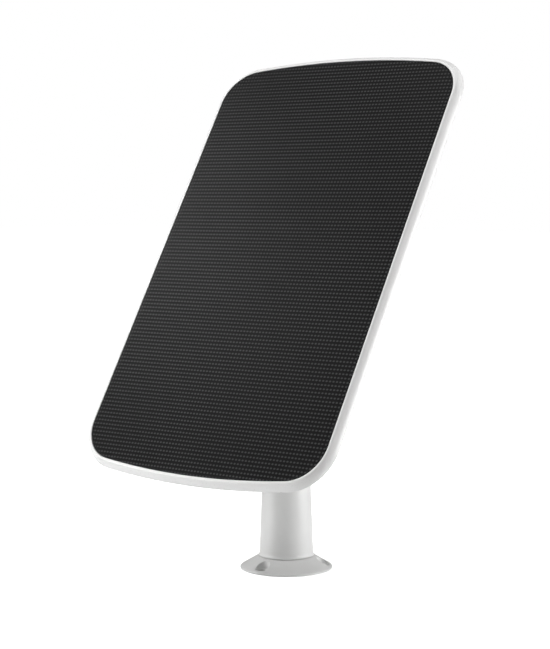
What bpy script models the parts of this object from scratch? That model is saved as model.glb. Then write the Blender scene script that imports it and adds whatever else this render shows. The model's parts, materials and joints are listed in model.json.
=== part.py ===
# Solar charging panel on a tapered post with a drop-notch ball head.
# Metres, +Z up the post, origin at the middle of the flange's underside, panel facing -Y and up.
from math import acos, asin, cos, pi, radians, sin, sqrt

import bmesh
import bpy
from mathutils import Matrix, Vector

MM = 0.001
GAP = 0.3 * MM                      # between pieces that touch on the real object
OVERRUN = 1.0 * MM                  # of a cutter past the face it opens
EMBED = 0.8 * MM                    # of a joined shape into the one it joins
EDGE_BREAK = 0.8 * MM
END_BREAK = 0.6 * MM                # on the ends of threads and lips

# Panel: a rectangle with bowed ends and round corners, measured at the edge of its dark face
FACE_HALF_WIDTH = 78.63 * MM
FACE_HALF_HEIGHT = 126.25 * MM      # at the middle of the bowed ends
END_BOW = 6.42 * MM                 # rise of each bowed end over its full width
FACE_CORNER_RADIUS = 20.98 * MM
PANEL_DEPTH = 13.0 * MM
PANEL_RISE = 38.0 * MM              # from the mount up to the middle of the face
LEAN_BACK = radians(31.43)          # of the face, from upright
CORNER_STEPS = 6
END_STEPS = 6

# Front frame section: widths run outward from the dark face, depths back from it
LIP_WIDTH = 1.0 * MM
BEND_WIDTH = 2.3 * MM               # of the side's bend, beyond the lip
BEND_DEPTH = 1.4 * MM
FRAME_BULGE = 3.9 * MM
BULGE_DEPTH = 4.3 * MM
FRAME_DEPTH = 5.0 * MM
FRAME_EDGE_STEPS = 4
FRAME_BACK_DRAW = 0.4 * MM
LEDGE_DEPTH = 3.8 * MM
LEDGE_WIDTH = 7.0 * MM

# Rear cover
COVER_WALL = 1.8 * MM
COVER_LIP = 1.1 * MM                # thickness of the rim outside the seal
COVER_RIM_DRAW = 0.8 * MM           # how far the rim stands in from the frame's widest point
COVER_FLAT_INSET = 5.0 * MM         # flat back starts this far in from the dark face's edge
COVER_SIDE = ((0, 0), (0.35, 0.28), (0.74, 0.6), (0.94, 0.85), (1, 1))  # share of depth, of inset
COVER_INNER_LEDGE = 0.8 * MM        # seal seat's step inside the rim
COVER_FILLET_DROP = 1.7 * MM        # inside the wall, below the seal's seat
COVER_FILLET_RISE = 0.6 * MM        # inside the wall, above the floor
COVER_FILLET_OUT = 1.4 * MM
COVER_WALL_LEAN = 0.4 * MM
COVER_FILLET_IN = 0.5 * MM
SEAL_WIDTH = 1.5 * MM
SEAL_THICKNESS = 0.7 * MM

# Laminate, from the front back
FILM_THICKNESS = 0.6 * MM
CELL_THICKNESS = 0.4 * MM
CELL_BOARD_THICKNESS = 1.1 * MM
GASKET_THICKNESS = 0.5 * MM
CELL_COLUMNS = 2
CELL_ROWS = 6
CELL_SPACING = 1.2 * MM
CELL_SIDE_MARGIN = 4.6 * MM
CELL_END_MARGIN = 13.2 * MM
RIBBON_WIDTH = 3.0 * MM
RIBBON_THICKNESS = 0.3 * MM

# Cover screws
SCREW_INSET = 8.0 * MM              # in from the dark face's edge
SCREW_RADIUS = 1.2 * MM
SCREW_HEAD_RADIUS = 2.7 * MM
SCREW_HEAD_HEIGHT = 1.4 * MM
SCREW_HEAD_BREAK = 0.5 * MM
SCREW_DRIVE_RADIUS = 1.1 * MM
SCREW_DRIVE_FLOOR_RADIUS = 0.7 * MM
SCREW_DRIVE_DEPTH = 0.8 * MM
SCREW_BOSS_RADIUS = 3.2 * MM
SCREW_RECESS = 2.0 * MM             # from the flat back in to the seat under the head
PILOT_COVER = 0.4 * MM              # left above the pilot hole, below the frame's ledge
SCREW_SEAT_RADIUS = 4.2 * MM
SCREW_SEAT_WEB = 1.4 * MM

# Panel mount: quarter-inch camera thread
THREAD_RADIUS = 3.175 * MM
THREAD_PITCH = 1.27 * MM
INSERT_RADIUS = 5.0 * MM
INSERT_LENGTH = 7.2 * MM
INSERT_BREAK = 0.5 * MM
INSERT_BOSS_WALL = 3.7 * MM
MOUNT_PAD_RADIUS = 12.0 * MM
MOUNT_PAD_HEIGHT = 2.1 * MM
GRIP_WASHER_RADIUS = 9.5 * MM
GRIP_WASHER_THICKNESS = 1.0 * MM
JAM_WHEEL_RADIUS = 10.0 * MM
JAM_WHEEL_THICKNESS = 4.0 * MM
JAM_WHEEL_LOBES = 12
JAM_WHEEL_LOBE_DEPTH = 0.8 * MM

# Ball and socket
BALL_RADIUS = 9.0 * MM
NECK_RADIUS = 3.5 * MM
SHOULDER_REACH = 14.63 * MM         # from the ball's centre to the shoulder
SHOULDER_RADIUS = 6.5 * MM
SHOULDER_THICKNESS = 2.8 * MM
SHOULDER_BREAK = 0.4 * MM
HOUSING_RADIUS = 13.0 * MM
SOCKET_LIP_HEIGHT = 4.5 * MM        # above the ball's centre
NOTCH_CLEARANCE = 0.6 * MM          # beside the neck
PLUG_FLANGE = 4.8 * MM
PLUG_ENGAGEMENT = 4.2 * MM          # of the plug inside the housing
CUP_FLOOR = 3.6 * MM
CUP_TRAVEL = 0.5 * MM
CUP_RIM_DROP = 5.9 * MM             # below the ball's centre

# Lock knob and its screw
LOCK_SCREW_RADIUS = 2.2 * MM
LOCK_SCREW_RISE = 3.0 * MM          # above the pressure cup's underside
LOCK_CONE_DEPTH = 2.4 * MM
LOCK_HEAD_RADIUS = 4.0 * MM
LOCK_HEAD_THICKNESS = 2.5 * MM
LOCK_BOSS_RADIUS = 5.0 * MM
LOCK_BOSS_START = 1.2 * MM          # outside the seat
LOCK_BOSS_REACH = 1.0 * MM          # beyond the housing's side
LOCK_WASHER_RADIUS = 4.6 * MM
LOCK_WASHER_THICKNESS = 1.0 * MM
KNOB_RADIUS = 7.0 * MM
KNOB_LENGTH = 8.0 * MM
KNOB_LOBES = 6
KNOB_LOBE_DEPTH = 1.0 * MM

# Post
POST_TOP = 88.0 * MM
POST_FOOT_RADIUS = 15.35 * MM
POST_LOW_RADIUS = 14.6 * MM         # just above the foot fillet
POST_FILLET_HEIGHT = 2.1 * MM
POST_TAPER = 0.0376                 # radius lost per unit of height
POST_BORE_RADIUS = 8.5 * MM
POST_FLOOR = 13.7 * MM              # solid length above the hub's socket
CAP_COLLAR = 2.0 * MM
CAP_SPIGOT = 12.0 * MM
STUD_BELOW_CAP = 2.0 * MM           # how far the stud stops short of the cap's underside
STUD_ABOVE_PAN = 8.6 * MM           # stud length above the pan washer
PAN_WASHER_THICKNESS = 1.0 * MM
PAN_WASHER_RADIUS = 11.0 * MM

# Flange
FLANGE_RADIUS = 25.0 * MM
RIM_HEIGHT = 1.35 * MM
RIM_ROUND = 0.3 * MM
FLANGE_HEIGHT = 6.9 * MM
HUB_RADIUS = 9.0 * MM
HUB_RISE = 5.1 * MM                 # above the flange, inside the post
KEY_WIDTH = 3.0 * MM
KEY_REACH = 1.8 * MM
HOLE_CIRCLE_RADIUS = 20.5 * MM
HOLE_RADIUS = 2.25 * MM
COUNTERBORE_RADIUS = 3.95 * MM
COUNTERBORE_FLOOR = 1.8 * MM
HOLE_ANGLES = (270, 30, 150)
BASE_COVER_RADIUS = 13.7 * MM
BASE_COVER_THICKNESS = 1.2 * MM
POST_SCREW_RADIUS = 2.7 * MM
POST_SCREW_LENGTH = 19.7 * MM
POST_SCREW_HEAD_RADIUS = 5.0 * MM
POST_SCREW_HEAD = 2.5 * MM
POST_SOCKET_RADIUS = 2.3 * MM       # of the hexagon in its head
POST_SOCKET_DEPTH = 1.5 * MM
POST_POCKET_CLEARANCE = 1.0 * MM    # round the washer
POST_WASHER_RADIUS = 6.0 * MM
POST_WASHER_THICKNESS = 1.0 * MM

# Regulator and cable outlet, measured down the panel from the mount
REGULATOR_DROP = 46.0 * MM
REGULATOR_WIDTH = 44.0 * MM
REGULATOR_HEIGHT = 24.0 * MM
REGULATOR_THICKNESS = 1.6 * MM
REGULATOR_STAND = 1.7 * MM
INDUCTOR_PLACE = (-12.0 * MM, 2.0 * MM)      # from the middle of the board
INDUCTOR_SIZE = (10.0 * MM, 10.0 * MM, 3.2 * MM)
CHIP_PLACE = (2.0 * MM, 2.0 * MM)
CHIP_SIZE = (5.0 * MM, 4.0 * MM, 1.2 * MM)
TERMINAL_PLACE = (0.0, -8.0 * MM)
TERMINAL_SIZE = (12.0 * MM, 5.0 * MM, 3.4 * MM)
CAPACITOR_PLACE = (13.0 * MM, -2.0 * MM)
CAPACITOR_RADIUS = 3.2 * MM
CAPACITOR_HEIGHT = 3.4 * MM
STAND_RADIUS = 2.0 * MM
STAND_INSET = 3.0 * MM
LEAD_RADIUS = 0.7 * MM
LEAD_SPREAD = 7.0 * MM
LEAD_START_INSET = 3.0 * MM         # from the board's upper edge
LEAD_RUN = 14.0 * MM
LEAD_STEPS = 8
GLAND_DROP = 70.0 * MM
GLAND_RADIUS = 4.7 * MM
GLAND_LIP = 2.0 * MM
GLAND_LIP_THICKNESS = 1.4 * MM
GLAND_INNER_DRAW = 0.3 * MM
GLAND_BORE_RADIUS = 1.9 * MM

# Places that follow from the sizes, up the post
HUB_TOP = FLANGE_HEIGHT + HUB_RISE
POST_BOTTOM = FLANGE_HEIGHT + GAP
POST_BORE_BOTTOM = HUB_TOP + GAP + POST_FLOOR
CAP_BOTTOM = POST_TOP + GAP
CAP_TOP = CAP_BOTTOM + CAP_COLLAR
PAN_WASHER_BOTTOM = CAP_TOP + GAP
PLUG_BOTTOM = PAN_WASHER_BOTTOM + PAN_WASHER_THICKNESS + GAP
HOUSING_BOTTOM = PLUG_BOTTOM + PLUG_FLANGE + GAP
PLUG_TOP = HOUSING_BOTTOM + PLUG_ENGAGEMENT
CUP_BOTTOM = PLUG_TOP + GAP + CUP_TRAVEL
SEAT_RADIUS = BALL_RADIUS + GAP
BALL_Z = CUP_BOTTOM + CUP_FLOOR + SEAT_RADIUS
LOCK_Z = CUP_BOTTOM + LOCK_SCREW_RISE

# Places that follow from the sizes, out from the ball's centre along the panel's normal
SHOULDER_TOP = SHOULDER_REACH + SHOULDER_THICKNESS
JAM_BOTTOM = SHOULDER_TOP + THREAD_PITCH + GAP
JAM_TOP = JAM_BOTTOM + JAM_WHEEL_THICKNESS
GRIP_BOTTOM = JAM_TOP + GAP
PAD_FACE = GRIP_BOTTOM + GRIP_WASHER_THICKNESS + GAP
PANEL_BACK = PAD_FACE + MOUNT_PAD_HEIGHT
PANEL_FRONT = PANEL_BACK + PANEL_DEPTH
COVER_FLOOR = PANEL_BACK + COVER_WALL
INSERT_BOTTOM = PAD_FACE + GAP
INSERT_TOP = INSERT_BOTTOM + INSERT_LENGTH
FILM_BACK = PANEL_FRONT - FILM_THICKNESS
CELL_FRONT = FILM_BACK - GAP
CELL_BACK = CELL_FRONT - CELL_THICKNESS
BOARD_FRONT = CELL_BACK - GAP
BOARD_BACK = BOARD_FRONT - CELL_BOARD_THICKNESS
FRAME_BACK = PANEL_FRONT - FRAME_DEPTH
LEDGE_FRONT = PANEL_FRONT - LEDGE_DEPTH
SEAL_BACK = FRAME_BACK - GAP - SEAL_THICKNESS
SEAT_FLOOR = PANEL_BACK + SCREW_RECESS
SEAT_TOP = SEAT_FLOOR + SCREW_SEAT_WEB
BOSS_END = SEAT_TOP + GAP
PILOT_TOP = FRAME_BACK - PILOT_COVER
REGULATOR_BACK = COVER_FLOOR + REGULATOR_STAND + GAP
REGULATOR_FRONT = REGULATOR_BACK + REGULATOR_THICKNESS

# Bow of the panel's ends
BOW_RADIUS = (FACE_HALF_WIDTH**2 + END_BOW**2) / (2 * END_BOW)
BOW_CENTRE = FACE_HALF_HEIGHT - BOW_RADIUS
CORNER_X = FACE_HALF_WIDTH - FACE_CORNER_RADIUS
CORNER_Y = BOW_CENTRE + sqrt((BOW_RADIUS - FACE_CORNER_RADIUS)**2 - CORNER_X**2)


# ---- tools ----

for old in list(bpy.data.objects):
    bpy.data.objects.remove(old)

parts = bpy.data.collections.new("solar_panel_mount")
tools = bpy.data.collections.new("cutters")
bpy.context.scene.collection.children.link(parts)
bpy.context.scene.collection.children.link(tools)


def material(name, colour, roughness, metallic=0.0):
    made = bpy.data.materials.new(name)
    made.use_nodes = True
    shader = made.node_tree.nodes["Principled BSDF"]
    shader.inputs["Base Color"].default_value = (*colour, 1.0)
    shader.inputs["Roughness"].default_value = roughness
    shader.inputs["Metallic"].default_value = metallic
    return made


WHITE_PLASTIC = material("white_plastic", (0.82, 0.82, 0.81), 0.35)
DARK_FILM = material("dark_film", (0.035, 0.037, 0.042), 0.45)
CELL_SILICON = material("cell_silicon", (0.02, 0.025, 0.05), 0.3)
CIRCUIT_BOARD = material("circuit_board", (0.03, 0.16, 0.07), 0.5)
TINNED = material("tinned_copper", (0.75, 0.74, 0.72), 0.3, 1.0)
STEEL = material("steel", (0.62, 0.62, 0.63), 0.3, 1.0)
BRASS = material("brass", (0.72, 0.55, 0.27), 0.3, 1.0)
RUBBER = material("rubber", (0.03, 0.03, 0.03), 0.8)
BLACK_PLASTIC = material("black_plastic", (0.04, 0.04, 0.04), 0.5)
NYLON = material("nylon", (0.78, 0.76, 0.7), 0.5)
COMPONENT = material("component", (0.05, 0.05, 0.055), 0.6)
RED_WIRE = material("red_wire", (0.5, 0.03, 0.02), 0.5)
BLACK_WIRE = material("black_wire", (0.02, 0.02, 0.02), 0.5)


def empty(name, location, rotation=(0, 0, 0)):
    made = bpy.data.objects.new(name, None)
    made.location = location
    made.rotation_euler = rotation
    parts.objects.link(made)
    return made


def place(name, data, finish, parent=None, location=(0, 0, 0), rotation=(0, 0, 0)):
    made = bpy.data.objects.new(name, data)
    made.location = location
    made.rotation_euler = rotation
    made.parent = parent
    if finish is None:
        made.hide_render = True
        made.display_type = "WIRE"
        tools.objects.link(made)
    else:
        data.materials.append(finish)
        parts.objects.link(made)
    return made


def turned(name, profile, finish, steps=24, ring=False, **where):
    """Profile of (radius, height), down the outer side; a ring's profile closes on itself."""
    mesh = bpy.data.meshes.new(name)
    edges = [(i, i + 1) for i in range(len(profile) - 1)]
    if ring:
        edges.append((len(profile) - 1, 0))
    mesh.from_pydata([(r, 0, z) for r, z in profile], edges, [])
    made = place(name, mesh, finish, **where)
    screw = made.modifiers.new("turn", "SCREW")
    screw.steps = steps
    screw.render_steps = steps
    screw.use_merge_vertices = True
    screw.merge_threshold = 0.00001
    screw.use_smooth_shade = True
    return made


def tube_profile(outer, inner, bottom, top, round_off=0.0):
    """Closed profile of a plain ring, with its outer corners broken."""
    return [
        (inner, top),
        (outer - round_off, top),
        (outer, top - round_off),
        (outer, bottom + round_off),
        (outer - round_off, bottom),
        (inner, bottom),
    ] if round_off else [(inner, top), (outer, top), (outer, bottom), (inner, bottom)]


def rod_profile(radius, bottom, top):
    return [(0, top), (radius, top), (radius, bottom), (0, bottom)]


def box(name, low, high, finish, **where):
    mesh = bpy.data.meshes.new(name)
    shape = bmesh.new()
    low, high = Vector(low), Vector(high)
    bmesh.ops.create_cube(shape, size=1.0)
    bmesh.ops.scale(shape, vec=high - low, verts=shape.verts)
    bmesh.ops.translate(shape, vec=(low + high) / 2, verts=shape.verts)
    shape.to_mesh(mesh)
    shape.free()
    return place(name, mesh, finish, **where)


def flat_curve(name, outlines, bottom, top):
    """Filled flat outlines, extruded from bottom to top; an inner outline is a hole."""
    curve = bpy.data.curves.new(name, "CURVE")
    curve.dimensions = "2D"
    curve.fill_mode = "BOTH"
    curve.extrude = (top - bottom) / 2
    for outline in outlines:
        spline = curve.splines.new("POLY")
        spline.points.add(len(outline) - 1)
        for point, (x, y) in zip(spline.points, outline):
            point.co = (x, y, 0, 1)
        spline.use_cyclic_u = True
    return curve


def evaluated_mesh(source, name):
    """The evaluated shape of an object as a welded mesh."""
    graph = bpy.context.evaluated_depsgraph_get()
    mesh = bpy.data.meshes.new_from_object(source.evaluated_get(graph))
    mesh.name = name
    shape = bmesh.new()
    shape.from_mesh(mesh)
    bmesh.ops.remove_doubles(shape, verts=shape.verts, dist=0.000001)
    bmesh.ops.recalc_face_normals(shape, faces=shape.faces)
    shape.to_mesh(mesh)
    shape.free()
    return mesh


def plate(name, outlines, bottom, top, finish, **where):
    """A flat plate as a mesh, so that it can be cut."""
    source = place(name + "_outline", flat_curve(name, outlines, bottom, top), None)
    bpy.context.view_layer.update()
    mesh = evaluated_mesh(source, name)
    bpy.data.objects.remove(source)
    mesh.transform(Matrix.Translation((0, 0, (bottom + top) / 2)))
    return place(name, mesh, finish, **where)


def cable(name, points, radius, finish, **where):
    curve = bpy.data.curves.new(name, "CURVE")
    curve.dimensions = "3D"
    curve.bevel_depth = radius
    curve.bevel_resolution = 2
    curve.use_fill_caps = True
    spline = curve.splines.new("POLY")
    spline.points.add(len(points) - 1)
    for point, position in zip(spline.points, points):
        point.co = (*position, 1)
    return place(name, curve, finish, **where)


def lofted(name, sections, finish, ring=False, **where):
    """Skins panel outlines at (offset, height), capped at both ends or closed into a ring."""
    shape = bmesh.new()
    loops = [
        [shape.verts.new((x, y, height)) for x, y in panel_outline(offset)]
        for offset, height in sections
    ]
    pairs = list(zip(loops, loops[1:]))
    if ring:
        pairs.append((loops[-1], loops[0]))
    for first, second in pairs:
        for i in range(len(first)):
            shape.faces.new((first[i - 1], first[i], second[i], second[i - 1]))
    if not ring:
        shape.faces.new(loops[0])
        shape.faces.new(loops[-1])
    bmesh.ops.recalc_face_normals(shape, faces=shape.faces)
    mesh = bpy.data.meshes.new(name)
    shape.to_mesh(mesh)
    shape.free()
    return place(name, mesh, finish, **where)


def boolean(made, tool, operation):
    step = made.modifiers.new(tool.name, "BOOLEAN")
    step.operation = operation
    step.solver = "EXACT"
    step.object = tool
    return made


def cut(made, tool):
    return boolean(made, tool, "DIFFERENCE")


def fuse(made, tool):
    return boolean(made, tool, "UNION")


def panel_outline(offset):
    """The dark face's edge moved outward by offset, as points around the mount's axis."""
    turn = acos(CORNER_X / (BOW_RADIUS - FACE_CORNER_RADIUS))
    corner = FACE_CORNER_RADIUS + offset
    bow = BOW_RADIUS + offset
    quarter = []
    for i in range(CORNER_STEPS + 1):
        angle = turn * i / CORNER_STEPS
        quarter.append((CORNER_X + corner * cos(angle), CORNER_Y + corner * sin(angle)))
    end = []
    for i in range(1, END_STEPS):
        angle = turn + (pi - 2 * turn) * i / END_STEPS
        end.append((bow * cos(angle), BOW_CENTRE + bow * sin(angle)))
    upper = quarter + end + [(-x, y) for x, y in reversed(quarter)]
    whole = upper + [(-x, -y) for x, y in upper]
    return [(x, y + PANEL_RISE) for x, y in whole]


def circle(radius, steps, centre=(0, 0)):
    return [
        (centre[0] + radius * cos(2 * pi * i / steps), centre[1] + radius * sin(2 * pi * i / steps))
        for i in range(steps)
    ]


def lobed(radius, lobes, depth, steps_per_lobe=6):
    """A grip outline whose radius dips by depth between its lobes."""
    steps = lobes * steps_per_lobe
    points = []
    for i in range(steps):
        angle = 2 * pi * i / steps
        reach = radius - depth * (1 - cos(lobes * angle)) / 2
        points.append((reach * cos(angle), reach * sin(angle)))
    return points


# ---- base ----

def base_flange():
    bore = POST_SCREW_RADIUS + GAP
    recess = BASE_COVER_RADIUS + GAP
    recess_top = BASE_COVER_THICKNESS + GAP
    pocket = POST_WASHER_RADIUS + POST_POCKET_CLEARANCE
    pocket_top = recess_top + GAP + POST_SCREW_HEAD + GAP + POST_WASHER_THICKNESS + GAP
    flange = turned("base_flange", [
        (bore, HUB_TOP),
        (HUB_RADIUS, HUB_TOP),
        (HUB_RADIUS, FLANGE_HEIGHT),
        (POST_FOOT_RADIUS, FLANGE_HEIGHT),
        (FLANGE_RADIUS - RIM_ROUND, RIM_HEIGHT),
        (FLANGE_RADIUS, RIM_HEIGHT - RIM_ROUND),
        (FLANGE_RADIUS, RIM_ROUND),
        (FLANGE_RADIUS - RIM_ROUND, 0),
        (recess, 0),
        (recess, recess_top),
        (pocket, recess_top),
        (pocket, pocket_top),
        (bore, pocket_top),
    ], WHITE_PLASTIC, steps=48, ring=True)
    fuse(flange, box("hub_key", (HUB_RADIUS - OVERRUN, -KEY_WIDTH / 2, FLANGE_HEIGHT - OVERRUN),
                     (HUB_RADIUS + KEY_REACH, KEY_WIDTH / 2, HUB_TOP), None))
    for angle in HOLE_ANGLES:
        axis = (HOLE_CIRCLE_RADIUS * cos(radians(angle)), HOLE_CIRCLE_RADIUS * sin(radians(angle)), 0)
        cut(flange, turned(f"flange_hole_{angle}", [
            (0, HUB_TOP),
            (COUNTERBORE_RADIUS, HUB_TOP),
            (COUNTERBORE_RADIUS, COUNTERBORE_FLOOR),
            (HOLE_RADIUS, COUNTERBORE_FLOOR),
            (HOLE_RADIUS, -OVERRUN),
            (0, -OVERRUN),
        ], None, steps=20, location=axis))
    return flange, recess_top, pocket_top


def base_group():
    flange, recess_top, pocket_top = base_flange()
    turned("base_cover", [
        (0, BASE_COVER_THICKNESS),
        (BASE_COVER_RADIUS, BASE_COVER_THICKNESS),
        (BASE_COVER_RADIUS, RIM_ROUND),
        (BASE_COVER_RADIUS - RIM_ROUND, 0),
        (0, 0),
    ], WHITE_PLASTIC, steps=32)
    head_bottom = recess_top + GAP
    head_top = head_bottom + POST_SCREW_HEAD
    screw = turned("post_screw", [
        (0, head_top + POST_SCREW_LENGTH),
        (POST_SCREW_RADIUS - END_BREAK, head_top + POST_SCREW_LENGTH),
        (POST_SCREW_RADIUS, head_top + POST_SCREW_LENGTH - EDGE_BREAK),
        (POST_SCREW_RADIUS, head_top),
        (POST_SCREW_HEAD_RADIUS, head_top),
        (POST_SCREW_HEAD_RADIUS, head_bottom + EDGE_BREAK),
        (POST_SCREW_HEAD_RADIUS - EDGE_BREAK, head_bottom),
        (0, head_bottom),
    ], STEEL, steps=20)
    cut(screw, turned("post_screw_socket", rod_profile(POST_SOCKET_RADIUS, head_bottom - OVERRUN,
                                                       head_bottom + POST_SOCKET_DEPTH), None, steps=6))
    washer_bottom = head_top + GAP
    turned("post_screw_washer", tube_profile(POST_WASHER_RADIUS, POST_SCREW_RADIUS + GAP, washer_bottom,
                                             washer_bottom + POST_WASHER_THICKNESS), STEEL, ring=True)


# ---- post ----

def post_radius(height):
    """Outer radius of the tapered part at a height."""
    return POST_LOW_RADIUS - POST_TAPER * (height - POST_BOTTOM - POST_FILLET_HEIGHT)


def post_group():
    socket = HUB_RADIUS + GAP
    bore = POST_SCREW_RADIUS + GAP
    fillet = []
    for i in range(5):
        share = i / 4
        fillet.append((POST_LOW_RADIUS + (POST_FOOT_RADIUS - POST_LOW_RADIUS) * share**2,
                       POST_BOTTOM + POST_FILLET_HEIGHT * (1 - share)))
    post = turned("post_shell", [
        (POST_BORE_RADIUS, POST_TOP),
        (post_radius(POST_TOP), POST_TOP),
        *fillet,
        (socket, POST_BOTTOM),
        (socket, HUB_TOP + GAP),
        (bore, HUB_TOP + GAP),
        (bore, POST_BORE_BOTTOM),
        (POST_BORE_RADIUS, POST_BORE_BOTTOM),
    ], WHITE_PLASTIC, steps=32, ring=True)
    cut(post, box("keyway", (HUB_RADIUS - OVERRUN, -KEY_WIDTH / 2 - GAP, FLANGE_HEIGHT - OVERRUN),
                  (HUB_RADIUS + KEY_REACH + GAP, KEY_WIDTH / 2 + GAP, HUB_TOP + GAP), None))

    stud_bore = THREAD_RADIUS + GAP
    spigot = POST_BORE_RADIUS - GAP
    spigot_bottom = CAP_BOTTOM - CAP_SPIGOT
    stud_bottom = spigot_bottom + STUD_BELOW_CAP
    stud_top = PAN_WASHER_BOTTOM + PAN_WASHER_THICKNESS + STUD_ABOVE_PAN
    turned("post_cap", [
        (stud_bore, CAP_TOP),
        (post_radius(POST_TOP), CAP_TOP),
        (post_radius(POST_TOP), CAP_BOTTOM),
        (spigot, CAP_BOTTOM),
        (spigot, spigot_bottom),
        (stud_bore, spigot_bottom),
    ], WHITE_PLASTIC, steps=32, ring=True)
    turned("post_stud", rod_profile(THREAD_RADIUS, stud_bottom, stud_top), STEEL, steps=20)
    turned("pan_washer", tube_profile(PAN_WASHER_RADIUS, stud_bore, PAN_WASHER_BOTTOM,
                                      PAN_WASHER_BOTTOM + PAN_WASHER_THICKNESS), NYLON, ring=True)


# ---- ball head ----

def seat_arc(start, end, steps, radius=SEAT_RADIUS):
    """Points of the seat's sphere, by angle from straight up."""
    return [
        (radius * sin(start + (end - start) * i / steps), radius * cos(start + (end - start) * i / steps))
        for i in range(steps + 1)
    ]


def ball_housing(head):
    lip = acos(SOCKET_LIP_HEIGHT / SEAT_RADIUS)
    housing = turned("ball_housing", [
        (HOUSING_RADIUS - EDGE_BREAK, SOCKET_LIP_HEIGHT),
        (HOUSING_RADIUS, SOCKET_LIP_HEIGHT - EDGE_BREAK),
        (HOUSING_RADIUS, HOUSING_BOTTOM - BALL_Z),
        (SEAT_RADIUS, HOUSING_BOTTOM - BALL_Z),
        *reversed(seat_arc(lip, pi / 2, 5)),
    ], WHITE_PLASTIC, steps=32, ring=True, parent=head)
    half = NECK_RADIUS + NOTCH_CLEARANCE
    outline = [(half * cos(pi + pi * i / 12), half * sin(pi + pi * i / 12)) for i in range(13)]
    outline += [(half, 2 * SOCKET_LIP_HEIGHT), (-half, 2 * SOCKET_LIP_HEIGHT)]
    cut(housing, plate("drop_notch", [outline], 0, 2 * HOUSING_RADIUS, None, parent=head,
                       rotation=(pi / 2, 0, 0)))
    lock_height = LOCK_Z - BALL_Z
    boss_end = HOUSING_RADIUS + LOCK_BOSS_REACH
    fuse(housing, turned("lock_boss", rod_profile(LOCK_BOSS_RADIUS, SEAT_RADIUS + LOCK_BOSS_START,
                                                  boss_end), None, steps=24, parent=head,
                         location=(0, 0, lock_height), rotation=(-pi / 2, 0, 0)))
    cut(housing, turned("lock_hole", rod_profile(LOCK_SCREW_RADIUS + GAP, SEAT_RADIUS - OVERRUN,
                                                 boss_end + OVERRUN), None, steps=20, parent=head,
                        location=(0, 0, lock_height), rotation=(-pi / 2, 0, 0)))


def housing_plug(head):
    bore = THREAD_RADIUS + GAP
    turned("housing_base", [
        (bore, PLUG_TOP - BALL_Z),
        (SEAT_RADIUS - GAP, PLUG_TOP - BALL_Z),
        (SEAT_RADIUS - GAP, PLUG_BOTTOM + PLUG_FLANGE - BALL_Z),
        (HOUSING_RADIUS, PLUG_BOTTOM + PLUG_FLANGE - BALL_Z),
        (HOUSING_RADIUS, PLUG_BOTTOM - BALL_Z),
        (bore, PLUG_BOTTOM - BALL_Z),
    ], WHITE_PLASTIC, steps=32, ring=True, parent=head)


def lock_group(head):
    cup_side = SEAT_RADIUS - GAP
    rim = acos(-CUP_RIM_DROP / SEAT_RADIUS)
    arc = seat_arc(rim, pi, 6)
    cup = turned("pressure_cup", [
        (0, -SEAT_RADIUS),
        *reversed(arc[:-1]),
        (cup_side, -CUP_RIM_DROP),
        (cup_side, CUP_BOTTOM - BALL_Z),
        (0, CUP_BOTTOM - BALL_Z),
    ], NYLON, steps=28, parent=head)
    axis = {"parent": head, "location": (0, 0, LOCK_Z - BALL_Z), "rotation": (-pi / 2, 0, 0)}
    tip = cup_side - LOCK_CONE_DEPTH
    cut(cup, turned("lock_cone", [
        (0, cup_side + OVERRUN),
        (LOCK_CONE_DEPTH + OVERRUN, cup_side + OVERRUN),
        (0, tip),
    ], None, steps=20, **axis))

    washer_near = HOUSING_RADIUS + LOCK_BOSS_REACH + GAP
    knob_near = washer_near + LOCK_WASHER_THICKNESS + GAP
    knob_far = knob_near + KNOB_LENGTH
    bore = LOCK_SCREW_RADIUS + GAP
    recess = knob_far - LOCK_HEAD_THICKNESS - GAP
    turned("lock_washer", tube_profile(LOCK_WASHER_RADIUS, bore, washer_near,
                                       washer_near + LOCK_WASHER_THICKNESS), NYLON, ring=True, **axis)
    knob = plate("lock_knob", [lobed(KNOB_RADIUS, KNOB_LOBES, KNOB_LOBE_DEPTH)], knob_near, knob_far,
                 BLACK_PLASTIC, **axis)
    cut(knob, turned("knob_bore", [
        (0, knob_far + OVERRUN),
        (LOCK_HEAD_RADIUS + GAP, knob_far + OVERRUN),
        (LOCK_HEAD_RADIUS + GAP, recess),
        (bore, recess),
        (bore, knob_near - OVERRUN),
        (0, knob_near - OVERRUN),
    ], None, steps=20, **axis))
    cone = LOCK_SCREW_RADIUS
    tip_end = tip + GAP * sqrt(2)
    turned("lock_screw", [
        (0, knob_far),
        (LOCK_HEAD_RADIUS, knob_far),
        (LOCK_HEAD_RADIUS, recess + GAP),
        (LOCK_SCREW_RADIUS, recess + GAP),
        (LOCK_SCREW_RADIUS, tip_end + cone),
        (0, tip_end),
    ], STEEL, steps=20, **axis)


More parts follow.
